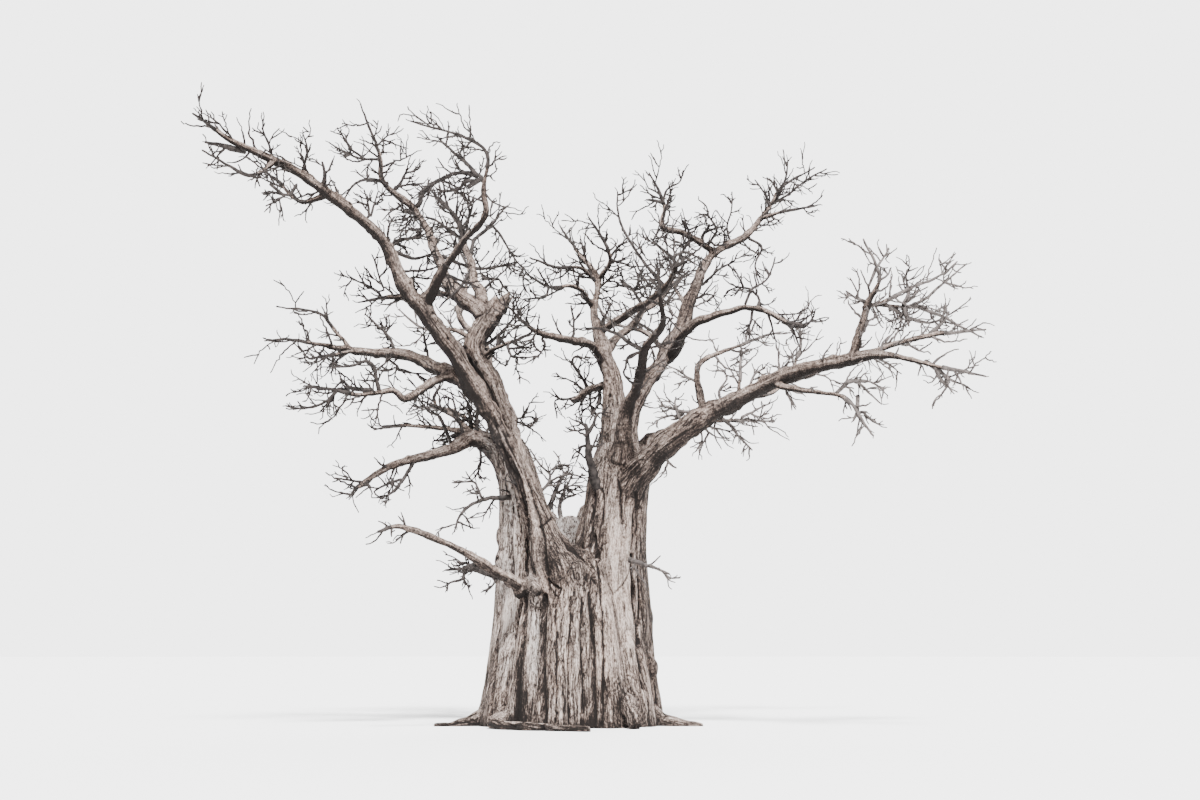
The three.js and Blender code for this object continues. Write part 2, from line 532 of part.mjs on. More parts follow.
function recordLengths(owner, line, from = 0, to = line.spans) {
  const steps = Math.ceil((to - from) * 4);
  for (let i = 0; i < steps; i++) {
    const at = (k) => (from + ((to - from) * k) / steps) / line.spans;
    lengths.push({
      owner,
      line: new THREE.Line3(line.pointAt(at(i)), line.pointAt(at(i + 1))),
      girth: line.girthAt(at(i)),
    });
  }
}

// One twig's points and half thicknesses, from a foot on its parent's centre line.
function twigPath(foot, heading, length, random, girth) {
  const sideways = new THREE.Vector3(random() - 0.5, random() - 0.5, random() - 0.5).cross(heading).normalize();
  const kink = twigRule.kink * length * random();
  const lifted = heading.clone().add(new THREE.Vector3(0, 0, twigRule.rise * random())).normalize();
  const middle = foot.clone().addScaledVector(heading, length * 0.5).addScaledVector(sideways, kink);
  const tip = middle.clone().addScaledVector(lifted, length * 0.5).addScaledVector(sideways, -kink * 0.4);
  return { points: [foot, middle, tip], girths: [girth, girth * twigRule.middleShare, 0] };
}

function headingFrom(tangent, turn, opening) {
  const across = new THREE.Vector3(0, 0, 1).cross(tangent);
  if (across.length() < 0.1) across.set(1, 0, 0).cross(tangent);
  across.normalize().applyAxisAngle(tangent, turn);
  return tangent.clone().applyAxisAngle(across, opening);
}

// A twig is a three-sided cone of two lengths, bent where they meet.
function twigSolid({ points, girths }) {
  const geometry = new THREE.ConeGeometry(1, 1, twigSides, points.length - 1);
  const position = geometry.getAttribute('position');
  for (let i = 0; i < position.count; i++) {
    const index = Math.round((position.getY(i) + 0.5) * (points.length - 1));
    const before = points[Math.max(index - 1, 0)];
    const after = points[Math.min(index + 1, points.length - 1)];
    const tangent = after.clone().sub(before).normalize();
    const outward = new THREE.Vector3(0.31, 0.95, 0.05).cross(tangent).normalize();
    const sideways = outward.clone().cross(tangent).negate();
    const bearing = Math.atan2(position.getX(i), position.getZ(i));
    const girth = Math.round(Math.hypot(position.getX(i), position.getZ(i))) ? girths[index] : 0;
    const at = points[index].clone()
      .addScaledVector(sideways, Math.sin(bearing) * girth)
      .addScaledVector(outward, Math.cos(bearing) * girth);
    position.setXYZ(i, at.x, at.y, at.z);
  }
  return solidOf(geometry);
}

// True where a twig stays in its mass's space and clear of every other piece.
function twigFits(twig, owner, stemSamples, reach) {
  const tip = twig.points.at(-1);
  if (Math.min(...stemSamples.map((point) => point.distanceTo(tip))) > reach) return false;
  const nearest = new THREE.Vector3();
  const samples = 10;
  for (let k = 0; k <= samples; k++) {
    const share = (k / samples) * (twig.points.length - 1);
    const index = Math.min(Math.floor(share), twig.points.length - 2);
    const point = twig.points[index].clone().lerp(twig.points[index + 1], share - index);
    for (const { owner: other, line, girth } of lengths) {
      if (other === owner) continue;
      line.closestPointToPoint(point, true, nearest);
      if (nearest.distanceTo(point) < girth + twigRule.foot + twigClearance) return false;
    }
  }
  return true;
}

function recordTwig(owner, { points, girths }) {
  points.slice(1).forEach((point, i) => {
    lengths.push({ owner, line: new THREE.Line3(points[i], point), girth: girths[i] });
  });
}

function growTwigs(host, line, { bough: from = 0, reach, twigs, seed }) {
  const owner = host + '_twigs';
  const random = seeded(seed);
  const stemSamples = Array.from({ length: 13 }, (_, k) =>
    line.pointAt((from + ((line.spans - from) * k) / 12) / line.spans));
  const grownTwigs = [];
  const keep = (twig) => {
    if (!twigFits(twig, owner, stemSamples, reach * twigRule.spread * metre)) return false;
    grownTwigs.push(twig);
    recordTwig(owner, twig);
    return true;
  };
  for (let k = 0; k < twigs; k++) {
    const share = between([twigRule.firstAt, twigRule.lastAt], (k + 0.6 * random()) / twigs);
    const u = (from + (line.spans - from) * share) / line.spans;
    const turn = THREE.MathUtils.degToRad(twigRule.turn * k + twigRule.turnSway * (random() - 0.5));
    const opening = THREE.MathUtils.degToRad(between(twigRule.opening, random()));
    const length = between(twigRule.length, random()) * reach * metre;
    const heading = headingFrom(line.tangentAt(u), turn, opening);
    const foot = Math.min(twigRule.foot, twigRule.footShare * line.girthAt(u));
    const twig = twigPath(line.pointAt(u), heading, length, random, foot);
    const offshootTurn = random() * 2 * Math.PI;
    if (!keep(twig) || k % twigRule.offshootEvery) continue;
    const [, middle, tip] = twig.points;
    const start = middle.clone().lerp(tip, twigRule.offshootAt - 0.5);
    const offHeading = headingFrom(tip.clone().sub(middle).normalize(), offshootTurn, opening);
    const end = start.clone().addScaledVector(offHeading, length * twigRule.offshootShare);
    keep({ points: [start, end], girths: [twig.girths[1] * twigRule.footShare, 0] });
  }
  return grownTwigs;
}

place('trunk', trunkSolid(), trunkSolid(gap), bark);
place('left_stem', largestBody(greatStem('left')), greatStem('left', gap), bark);
place('right_stem', largestBody(cutClear(greatStem('right'))), greatStem('right', gap), bark);
place('back_stem', largestBody(cutClear(backStem())), backStem(gap), bark);

const lines = Object.fromEntries(Object.entries(limbs).map(([name, { route }]) => [name, limbLine(route)]));

for (const [name, column] of Object.entries(columnLines)) recordLengths('column_' + name, column);

for (const [name, limb] of Object.entries(limbs)) {
  const from = limb.fused ?? 0;
  recordLengths(name + '_bough', lines[name], 0, limb.bough ?? 0);
  if (limb.reach) recordLengths((limb.of ?? name) + '_twigs', lines[name], limb.bough ?? 0);
  if (!limb.bough) continue;
  const shape = { from, to: limb.bough, sides: boughSides, lift: gap };
  const bough = largestBody(cutClear(limbSolid(lines[name], shape)));
  place(name + '_bough', bough, limbSolid(lines[name], { ...shape, swell: gap }), boughBark);
}

// The stems of all masses come first, so that every twig can keep clear of them.
const masses = Object.keys(limbs).filter((name) => limbs[name].reach && !limbs[name].of);
const shootsOf = (host) => Object.keys(limbs).filter((name) => name === host || limbs[name].of === host);
const stemSolids = {};
for (const host of masses) {
  const shoots = shootsOf(host).map((name) => [lines[name], limbs[name].bough ?? 0]);
  const stemWith = (swell) => joined(shoots.map(([line, from]) =>
    limbSolid(line, { from, sides: twigStemSides, perSpan: 1, lift: gap, swell })));
  stemSolids[host] = largestBody(cutClear(stemWith(0)));
  grown.push(stemWith(gap));
}

for (const host of masses) {
  const twigs = shootsOf(host).flatMap((name) => growTwigs(host, lines[name], limbs[name]));
  const mass = joined([stemSolids[host], ...twigs.map(twigSolid)]);
  pieces.push(meshOf(host + '_twigs', largestBody(mass), twigBark));
}

const baobab = new THREE.Group();
baobab.add(...pieces);

export default baobab;
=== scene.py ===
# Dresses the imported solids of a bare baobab: bark with real relief on the trunk and boughs, and sprays of
# crooked twigs that grow on from them. Metres, +Z up, +Y to the back, the ground at z = 0.
import math

import bpy
import numpy as np
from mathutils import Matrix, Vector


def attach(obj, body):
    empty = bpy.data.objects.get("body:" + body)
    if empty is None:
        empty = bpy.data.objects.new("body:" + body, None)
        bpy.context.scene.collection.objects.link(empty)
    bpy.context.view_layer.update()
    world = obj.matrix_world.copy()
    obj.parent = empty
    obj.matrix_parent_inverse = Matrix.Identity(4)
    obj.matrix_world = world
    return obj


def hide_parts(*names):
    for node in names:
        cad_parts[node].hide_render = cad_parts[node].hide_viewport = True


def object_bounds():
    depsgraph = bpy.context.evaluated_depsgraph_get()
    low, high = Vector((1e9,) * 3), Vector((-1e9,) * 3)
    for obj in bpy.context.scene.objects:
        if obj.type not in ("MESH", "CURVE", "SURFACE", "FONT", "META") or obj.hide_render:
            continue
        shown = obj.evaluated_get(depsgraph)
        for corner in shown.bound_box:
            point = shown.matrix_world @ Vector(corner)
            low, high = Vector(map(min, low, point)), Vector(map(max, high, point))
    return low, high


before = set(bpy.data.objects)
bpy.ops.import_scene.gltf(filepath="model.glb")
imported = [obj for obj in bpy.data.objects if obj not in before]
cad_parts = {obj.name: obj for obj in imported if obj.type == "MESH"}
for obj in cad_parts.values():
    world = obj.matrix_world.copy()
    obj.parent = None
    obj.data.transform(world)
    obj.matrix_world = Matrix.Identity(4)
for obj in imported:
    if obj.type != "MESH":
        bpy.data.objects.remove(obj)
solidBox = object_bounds()
print("frame loaded,", len(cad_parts), "nodes")

# The columns that the trunk is fused from: [across, back, up, half thickness], foot to tip
columns = {
    "left": {"flutes": 5, "route": [
        (-1.3, 0.1, -0.4, 1.14), (-1.27, 0.1, 0.7, 1.06), (-1.14, 0.05, 2.6, 0.95), (-1.1, 0.05, 4.3, 0.85),
        (-1.22, 0.1, 5.6, 0.68), (-1.44, 0.15, 6.9, 0.48), (-1.62, 0.25, 7.6, 0.34),
    ]},
    "right": {"flutes": 6, "route": [
        (1.25, 0.1, -0.4, 1.2), (1.22, 0.1, 0.7, 1.12), (1.16, 0.1, 2.6, 1.06), (1.1, 0.1, 4.3, 1),
        (1.22, 0.1, 5.6, 0.87), (1.33, 0.1, 6.7, 0.76), (1.36, 0.1, 7.5, 0.5),
    ]},
    "middle": {"flutes": 4, "route": [
        (-0.1, -0.95, -0.4, 1.12), (-0.08, -0.92, 0.7, 1.05), (0.02, -0.85, 2.6, 0.96),
        (0.14, -0.8, 3.7, 0.84), (0.08, -0.7, 4.55, 0.42),
    ]},
    "back": {"flutes": 5, "route": [
        (0.1, 1, -0.4, 1.25), (0.1, 1, 0.7, 1.15), (0.06, 1, 2.6, 1.05), (0, 1.05, 4.3, 0.9),
        (0.02, 1.35, 5.5, 0.5),
    ]},
    "core": {"flutes": 0, "route": [
        (0, 0.05, -0.4, 1.72), (0, 0.05, 2.6, 1.45), (0, 0.1, 4.2, 0.8), (0, 0.2, 4.6, 0.4),
    ]},
}

# Buttresses round the foot: bearing in degrees from +X, half thickness and height
footPlan = {"across": 2.42, "back": 2.15, "lean": 0.42, "groundDepth": 0.4}
buttresses = [
    (8, 0.52, 3.2), (52, 0.62, 3.1), (96, 0.55, 2.2), (134, 0.66, 3.3), (172, 0.52, 1.9),
    (207, 0.54, 2.9), (236, 0.44, 4.1), (262, 0.5, 3.2), (300, 0.6, 4.3), (333, 0.5, 3.2),
]
surfaceRoots = [
    [(-1.6, -1.3, 0.2, 0.3), (-1.72, -2.2, 0.1, 0.17), (-1.0, -3.0, 0.07, 0.15), (0.55, -3.7, 0.05, 0.12)],
    [(-1.9, -0.3, 0.25, 0.4), (-2.6, -0.6, 0.06, 0.17), (-3.5, -0.8, 0.01, 0.08)],
    [(1.9, -0.3, 0.25, 0.42), (2.65, -0.6, 0.08, 0.2), (3.5, -0.7, 0.01, 0.08)],
    [(1.5, -1.3, 0.6, 0.3), (1.66, -2.05, 0.36, 0.2), (1.72, -2.4, 0.03, 0.17)],
    [(0.9, 1.6, 0.3, 0.4), (1.5, 2.6, 0.08, 0.18), (2.3, 3.2, 0.01, 0.08)],
    [(-0.9, 1.6, 0.3, 0.4), (-1.6, 2.4, 0.08, 0.18), (-2.6, 2.7, 0.01, 0.08)],
]

# The limbs, as in the solids: reach and number of their twigs, seed, and route as for a column. Spans before
# "fused" belong to a great stem, those up to "bough" are the bough, and the rest is the stem of its mass of
# twigs. "of" marks a side shoot in another limb's mass.
limbs = {}


def addLimb(name, reach, twigs, seed, route, **more):
    limbs[name] = {"reach": reach, "twigs": twigs, "seed": seed, "route": route, **more}


addLimb("long_left", 1.15, 10, 11, [
    (-0.85, -0.95, 3.9, 0.22), (-0.85, -0.95, 4.8, 0.27), (-1.2, -1, 6.3, 0.36), (-1.85, -1.1, 7.9, 0.3),
    (-2.6, -1.3, 9.05, 0.24), (-3.4, -1.7, 10.25, 0.27), (-4.35, -2.2, 11.5, 0.2), (-4.9, -2.6, 12.6, 0.17),
    (-5.75, -3, 13.3, 0.15), (-7, -3.5, 14.15, 0.12), (-8.5, -4.1, 14.75, 0.07), (-9.45, -4.5, 15.35, 0.02),
], fused=3, bough=8, stem="left")
addLimb("long_left_low", 0.8, 6, 13, [
    (-6.25, -3.2, 13.6, 0.08), (-6.95, -2.9, 13.5, 0.06), (-7.6, -2.6, 14.1, 0.045),
    (-8.1, -2.4, 14.5, 0.015),
], of="long_left")
addLimb("long_left_end", 0.7, 5, 17, [
    (-7.5, -3.7, 14.35, 0.07), (-7.95, -4.2, 13.8, 0.05), (-8.45, -4.5, 13.95, 0.035),
    (-9.1, -4.8, 14.3, 0.015),
], of="long_left")
addLimb("broken_leader", None, 0, 5, [
    (0.1, -0.75, 2.8, 0.6), (-0.05, -1, 3.8, 0.62), (-0.5, -0.95, 4.7, 0.47), (-1.15, -0.75, 6.25, 0.37),
    (-1.62, -0.5, 7.75, 0.3), (-2.1, -0.3, 9.1, 0.27), (-2.6, -0.1, 10.2, 0.27), (-1.85, 0.1, 11.6, 0.2),
], fused=4, bough=7, stem="left")
addLimb("leader_spray", 1, 9, 19, [
    (-2.5, -0.1, 9.85, 0.07), (-1.75, -0.8, 10.1, 0.055), (-1.3, -1.3, 10.15, 0.04),
    (-0.95, -1.7, 10.3, 0.015),
])
addLimb("high_left", 1.1, 8, 23, [
    (-2.4, 0, 11.1, 0.24), (-3.05, 0.5, 11.75, 0.22), (-3.6, 0.9, 12.55, 0.13), (-4.35, 1.6, 14.3, 0.11),
    (-5.35, 1.4, 15.2, 0.08), (-5.55, 1.1, 16.1, 0.05), (-6, 0.7, 17.35, 0.015),
], bough=3)
addLimb("high_left_back", 0.6, 4, 27, [
    (-5.3, 1.4, 15.2, 0.05), (-5.85, 1.9, 15.5, 0.04), (-6.35, 2.3, 15.45, 0.03), (-6.7, 2.6, 15.1, 0.015),
], of="high_left")
addLimb("high_left_front", 0.8, 4, 29, [
    (-5.5, 1.15, 15.85, 0.04), (-6, 0.6, 15.75, 0.03), (-6.7, -0.3, 15.9, 0.012),
], of="high_left")
addLimb("crossing", 1, 8, 31, [
    (-3.8, -1.9, 11, 0.2), (-3, -2.8, 12.1, 0.12), (-2.2, -3.6, 12.8, 0.1), (-2.15, -3.9, 13.6, 0.07),
    (-2.05, -4, 14.4, 0.045), (-2.55, -4.2, 14.8, 0.035), (-3.95, -4.5, 15.15, 0.015),
], bough=3)
addLimb("crossing_back", 0.8, 4, 37, [
    (-2.15, -3.9, 13.75, 0.05), (-2.7, -3.6, 14.4, 0.045), (-3.4, -3.2, 15.15, 0.015),
], of="crossing")
addLimb("crossing_low", 0.7, 5, 39, [
    (-2.15, -3.93, 13.85, 0.06), (-2.8, -3.4, 14.1, 0.05), (-3.5, -2.9, 14, 0.045),
    (-3.9, -2.5, 13.65, 0.015),
], of="crossing")
addLimb("inner_left", 1.05, 8, 41, [
    (-2.4, 0.2, 11.5, 0.16), (-2.85, 1, 12.8, 0.1), (-3.15, 2, 13.8, 0.08), (-3.45, 2.8, 14.6, 0.05),
    (-4, 3.6, 15.4, 0.015),
], bough=1)
addLimb("inner_left_side", 1, 6, 43, [
    (-2.88, 1.08, 12.9, 0.06), (-2.75, 1.6, 13.6, 0.05), (-2.35, 2.4, 14.3, 0.04), (-1.95, 3, 14.95, 0.015),
], of="inner_left")
addLimb("upper_left_arm", 1.1, 9, 53, [
    (-2.55, -1.2, 8.85, 0.26), (-3.2, -0.7, 9.3, 0.22), (-3.85, -0.3, 9.7, 0.18), (-4.7, 0.2, 10.05, 0.15),
    (-5.85, 0.6, 10.15, 0.11), (-7.3, 1, 10.5, 0.05), (-8.65, 1.3, 10.6, 0.015),
], bough=4)
addLimb("upper_left_high", 0.8, 5, 59, [
    (-6.1, 0.68, 10.22, 0.055), (-6.75, 0.8, 11, 0.045), (-7.1, 0.9, 11.3, 0.035), (-8.3, 1.1, 11.55, 0.015),
], of="upper_left_arm")
addLimb("upper_left_low", 0.7, 4, 60, [
    (-6, 0.64, 10.18, 0.06), (-6.4, 0.1, 10, 0.05), (-7.05, -0.4, 9.8, 0.015),
], of="upper_left_arm")
addLimb("middle_left_arm", 1, 9, 61, [
    (-3.1, -0.8, 9.2, 0.15), (-3.5, -1.1, 9.1, 0.12), (-4.25, -1.9, 8.45, 0.1), (-4.6, -2.1, 8.65, 0.07),
    (-5.45, -2.4, 8.5, 0.055), (-6.75, -2.9, 8.65, 0.015),
], bough=3)
addLimb("grey_arm", 0.9, 6, 67, [
    (-1.55, 0.3, 6.6, 0.38), (-2.05, 0.45, 7.43, 0.32), (-2.65, 0.3, 7.7, 0.23), (-3.25, 0, 7.34, 0.14),
    (-4.05, -0.4, 7.1, 0.13), (-4.9, -0.8, 6.75, 0.1), (-5.5, -1.1, 6.3, 0.06), (-5.8, -1.2, 5.95, 0.015),
], fused=2, bough=4, stem="left")
addLimb("grey_arm_low", 0.6, 4, 71, [
    (-4.15, -0.45, 7.05, 0.05), (-4.55, -1, 6.2, 0.04), (-4.95, -1.3, 5.9, 0.015),
], of="grey_arm")
addLimb("thin_left_arm", 0.7, 5, 73, [
    (-2.6, 0.5, 7.88, 0.08), (-3.85, 0.7, 8.05, 0.06), (-4.75, 1, 8.15, 0.045), (-5.5, 1.2, 8.05, 0.015),
], of="shoulder_spray")
addLimb("shoulder_spray", 1.15, 9, 79, [
    (-2.45, 0.36, 7.65, 0.11), (-3.2, 1.1, 8.35, 0.08), (-3.9, 1.9, 8.9, 0.05), (-3.8, 2.7, 9.6, 0.015),
])
addLimb("shoulder_shoot", 0.9, 5, 80, [
    (-2.75, 0.7, 8, 0.06), (-2.85, 1.3, 8.7, 0.04), (-3.15, 1.5, 9.2, 0.015),
], of="shoulder_spray")
addLimb("low_left", 0.5, 6, 83, [
    (-0.95, -0.85, 3.35, 0.27), (-1.75, -2, 3.9, 0.19), (-2.75, -2.7, 4.5, 0.13), (-3.65, -3.3, 4.85, 0.1),
    (-4.2, -3.6, 5, 0.07), (-4.65, -3.9, 4.85, 0.025),
], bough=3, crook=0.15)
addLimb("low_left_side", 0.6, 5, 89, [
    (-1.3, -0.4, 3.75, 0.09), (-2.5, -1.5, 4.05, 0.05), (-3.15, -2, 4, 0.015),
])
addLimb("column_spray", 0.7, 5, 97, [
    (-1.4, -0.1, 6.05, 0.07), (-2.3, -1.2, 5.9, 0.045), (-2.8, -1.6, 5.5, 0.03), (-2.95, -1.8, 5, 0.015),
])
addLimb("centre", 1, 8, 101, [
    (1.1, 0.3, 6.4, 0.52), (1.2, 0.2, 7.9, 0.36), (1.18, 0.2, 9.15, 0.26), (0.9, 0.4, 10.2, 0.22),
    (0.65, 0.7, 11.3, 0.1), (0.75, 0.9, 12.3, 0.08), (0.15, 1.6, 13.3, 0.05), (-0.35, 2.3, 14.2, 0.015),
], fused=1, bough=4, stem="right")
addLimb("centre_left", 0.9, 6, 103, [
    (0.75, 0.9, 12.2, 0.07), (0.35, 0.8, 12.55, 0.055), (-0.4, 0.2, 12.5, 0.04), (-1.1, -0.4, 12.6, 0.015),
], of="centre")
addLimb("centre_right", 0.9, 6, 107, [
    (0.75, 0.9, 12.25, 0.07), (1.1, 0.6, 12.75, 0.05), (0.85, 0.3, 13.4, 0.04), (0.5, 0, 13.85, 0.015),
], of="centre")
addLimb("centre_low", 0.9, 6, 109, [
    (0.6, 0.75, 11.5, 0.09), (0.15, 0, 11.85, 0.06), (-0.5, -0.7, 11.7, 0.04), (-1.15, -1.2, 11.95, 0.015),
])
addLimb("left_centre_arm", 0.95, 8, 113, [
    (0.95, 0.35, 9.7, 0.16), (0.6, -0.15, 10.2, 0.13), (-0.6, -1.3, 10.25, 0.075), (-1.2, -1.9, 10.5, 0.04),
    (-1.6, -2.4, 10.85, 0.015),
], bough=2)
addLimb("front_leader", 1.2, 9, 127, [
    (1.4, -0.4, 7, 0.33), (1.5, -0.85, 8.2, 0.17), (1.8, -1.4, 8.85, 0.13), (1.92, -2, 9.25, 0.12),
    (2, -2.8, 9.65, 0.11), (2.4, -3.7, 10.1, 0.09), (2.3, -4.6, 10.7, 0.05), (2.2, -5.4, 11.4, 0.015),
], fused=1, bough=5, stem="right")
addLimb("cross_arm", 1.1, 8, 131, [
    (0.95, 0.4, 10.1, 0.14), (1.6, 1.3, 11, 0.11), (2.45, 2.6, 12.05, 0.08), (2.85, 3.2, 12.5, 0.045),
    (3.5, 4.2, 13.3, 0.015),
], bough=2)
addLimb("pale_arm", 1.1, 9, 137, [
    (0.78, 0.55, 10.75, 0.13), (1.65, -0.2, 11.05, 0.11), (2.5, -1.2, 11.5, 0.08), (2.85, -1.8, 12.1, 0.05),
    (2.15, -2.4, 12.65, 0.015),
], bough=2)
addLimb("pale_arm_shoot", 0.9, 5, 139, [
    (2.55, -1.28, 11.6, 0.05), (2, -1, 12.4, 0.035), (1.4, -0.7, 13.5, 0.025), (1.3, -0.6, 14.4, 0.012),
], of="pale_arm")
addLimb("right_leader", 1, 10, 149, [
    (1.35, 0.2, 6.9, 0.45), (1.67, 0.3, 8.45, 0.26), (2.15, 0.5, 9.3, 0.22), (3.05, 1.2, 10.7, 0.19),
    (3.45, 1.9, 12, 0.16), (4.1, 2.65, 13.4, 0.13), (5.2, 3.2, 14.15, 0.1), (5.95, 3.7, 15.2, 0.06),
    (6.3, 4.1, 15.85, 0.04), (7.4, 4.5, 16.6, 0.015),
], fused=1, bough=5, stem="right")
addLimb("right_leader_left", 1, 10, 151, [
    (4.2, 2.7, 13.5, 0.1), (3.3, 2.4, 13.95, 0.09), (2.6, 2.2, 14.15, 0.08), (2.7, 2.15, 14.8, 0.055),
    (2.25, 2, 15.7, 0.015),
], of="right_leader")
addLimb("right_leader_side", 0.6, 4, 152, [
    (5.6, 3.45, 14.7, 0.06), (6.15, 3, 14.75, 0.05), (7.2, 2.4, 14.85, 0.015),
], of="right_leader")
addLimb("right_arm", 0.85, 8, 157, [
    (2.75, 0.85, 10.05, 0.17), (3.1, 0, 10.6, 0.13), (4.35, -0.6, 11.05, 0.1), (5.05, -1, 11.05, 0.08),
    (5.8, -1.6, 10.55, 0.05), (6.25, -2, 10.4, 0.02),
], bough=3)
addLimb("stubby_arm", 0.8, 6, 163, [(1.1, 0.25, 9.2, 0.1), (0.6, 0.9, 9.2, 0.09), (0.15, 1.5, 8.95, 0.03)])
addLimb("great_right", 0.9, 8, 167, [
    (1.5, -0.2, 6.2, 0.5), (2.2, -0.7, 7.05, 0.37), (3.45, -1.4, 7.98, 0.3), (4.85, -2.1, 8.66, 0.21),
    (5.95, -2.7, 9.08, 0.17), (7.2, -3.3, 9.27, 0.15), (8.05, -3.8, 9.27, 0.08), (9.25, -4.5, 8.85, 0.05),
    (10.2, -5, 8.55, 0.015),
], fused=1, bough=5, stem="right")
addLimb("right_post", 0.95, 9, 173, [
    (7.12, -3.26, 9.25, 0.11), (7.38, -3.5, 10.05, 0.1), (7.5, -3.7, 10.55, 0.08), (7.8, -4, 11.3, 0.04),
    (7.45, -4.1, 12.2, 0.015),
])
addLimb("right_broom", 0.9, 9, 179, [
    (7.5, -3.65, 10.55, 0.07), (8, -3.3, 10.7, 0.055), (9, -2.6, 10.85, 0.04), (10.6, -1.6, 12.15, 0.012),
], of="right_post")
addLimb("right_end", 0.95, 9, 181, [
    (7.1, -3.2, 9.3, 0.1), (8.3, -3, 9.7, 0.08), (9.4, -2.6, 10.05, 0.06), (10.9, -2.2, 10.25, 0.015),
])
addLimb("hanging_right", 0.7, 6, 191, [
    (5.3, -2.4, 8.8, 0.08), (5.95, -3, 8.5, 0.065), (6.9, -3.8, 8.2, 0.05), (7.5, -4.6, 7.15, 0.015),
])
addLimb("upright_right", 0.85, 8, 193, [
    (3.6, -1.4, 8.1, 0.13), (3.4, -1.2, 9.05, 0.085), (3.55, -1, 9.65, 0.07), (4.65, -0.2, 10.2, 0.045),
    (5.85, 0.5, 10.7, 0.015),
], bough=2)
addLimb("low_right_spray", 0.8, 6, 197, [
    (3.6, -1.4, 7.95, 0.06), (4.5, -0.8, 8.05, 0.045), (5.55, -0.2, 8.1, 0.015),
])
addLimb("left_spur", 0.8, 5, 199, [
    (-4.1, -2.05, 11.15, 0.1), (-4.85, -1.85, 11.2, 0.05), (-5.6, -1.6, 11.1, 0.015),
])
addLimb("back_right", 1.3, 9, 211, [
    (1.5, 0.6, 6.75, 0.36), (2.5, 1.9, 7.8, 0.25), (3.7, 3, 8.6, 0.2), (5.2, 4.1, 9.3, 0.16),
    (6.6, 5.2, 9.95, 0.12), (7.3, 6.1, 11.3, 0.07), (7.15, 6.8, 12.5, 0.015),
], bough=4)
addLimb("back_right_side", 1.1, 6, 213, [
    (6.68, 5.28, 10.08, 0.08), (8, 5.3, 10.6, 0.06), (9.3, 6.1, 11.1, 0.04), (10.1, 6.5, 11.9, 0.015),
], of="back_right")
addLimb("back_left", 1.3, 9, 223, [
    (-0.35, 1.3, 4.9, 0.4), (-1.15, 1.9, 6.35, 0.27), (-1.55, 3.1, 7.7, 0.22), (-2.35, 3.6, 9.1, 0.17),
    (-2.65, 4.9, 10.9, 0.13), (-3.5, 5.3, 12.25, 0.08), (-3.35, 6.4, 13.8, 0.05), (-4, 6.8, 15.15, 0.015),
], bough=4)
addLimb("back_left_side", 1.1, 6, 227, [
    (-2.7, 4.95, 11.05, 0.09), (-3.6, 4.8, 11.6, 0.07), (-4.6, 5.6, 11.75, 0.04), (-5.4, 5.4, 12.35, 0.015),
], of="back_left")
addLimb("back_left_low", 1.2, 9, 229, [
    (-1.5, 3.05, 7.8, 0.11), (-2.5, 3.9, 8.2, 0.08), (-3.5, 4.3, 9, 0.06), (-4.8, 5.3, 9.3, 0.015),
])
addLimb("back_centre", 1.3, 9, 233, [
    (0.25, 1.2, 4.9, 0.4), (1.1, 1.9, 6.9, 0.3), (1.4, 2.9, 8.25, 0.23), (2.05, 3.5, 9.5, 0.18),
    (2.7, 4.8, 10.9, 0.13), (3.4, 5.2, 12.2, 0.08), (3.1, 6.2, 13.6, 0.05), (3.7, 6.6, 15, 0.015),
], bough=4)
addLimb("back_centre_side", 1.2, 8, 239, [
    (2.75, 4.85, 11, 0.09), (2.05, 5.6, 11.75, 0.07), (1.15, 6, 12.1, 0.05), (0.5, 6.9, 13.3, 0.015),
], of="back_centre")
addLimb("back_spray", 0.8, 6, 241, [(-0.2, 1.5, 5.2, 0.07), (-0.3, 2, 6.1, 0.05), (0.05, 2.6, 7, 0.015)])
addLimb("column_shoot", 0.7, 6, 251, [(0.8, -0.4, 6.2, 0.12), (0.58, -0.7, 7, 0.09), (0.45, -1, 7.9, 0.03)])
addLimb("right_shoot", 0.45, 4, 257, [
    (1.5, -0.6, 4.35, 0.07), (2.1, -1.5, 4.15, 0.04), (2.6, -2, 3.9, 0.018),
])

# Branches that only show here, each in a mass that it grows on from
addLimb("high_left_stub", 0.45, 4, 313, [
    (-2.99, 0.45, 11.68, 0.13), (-3.36, 0.15, 11.68, 0.1), (-3.67, -0.05, 11.75, 0.05),
], of="high_left")
addLimb("long_left_knob", 0.4, 3, 307, [
    (-6.33, -3.24, 13.73, 0.07), (-6.26, -3.44, 14.08, 0.045), (-6.32, -3.54, 14.37, 0.02),
], of="long_left")
addLimb("great_right_upright", 0.6, 6, 397, [
    (4.45, -1.9, 8.48, 0.06), (4.52, -1.6, 9.39, 0.035), (4.6, -1.3, 9.9, 0.013),
], of="great_right")
addLimb("right_post_broom", 0.8, 9, 409, [
    (7.9, -3.35, 10.68, 0.05), (8.7, -3.2, 11.1, 0.035), (9.5, -2.9, 11.5, 0.025), (10.1, -2.7, 11.95, 0.012),
], of="right_post")

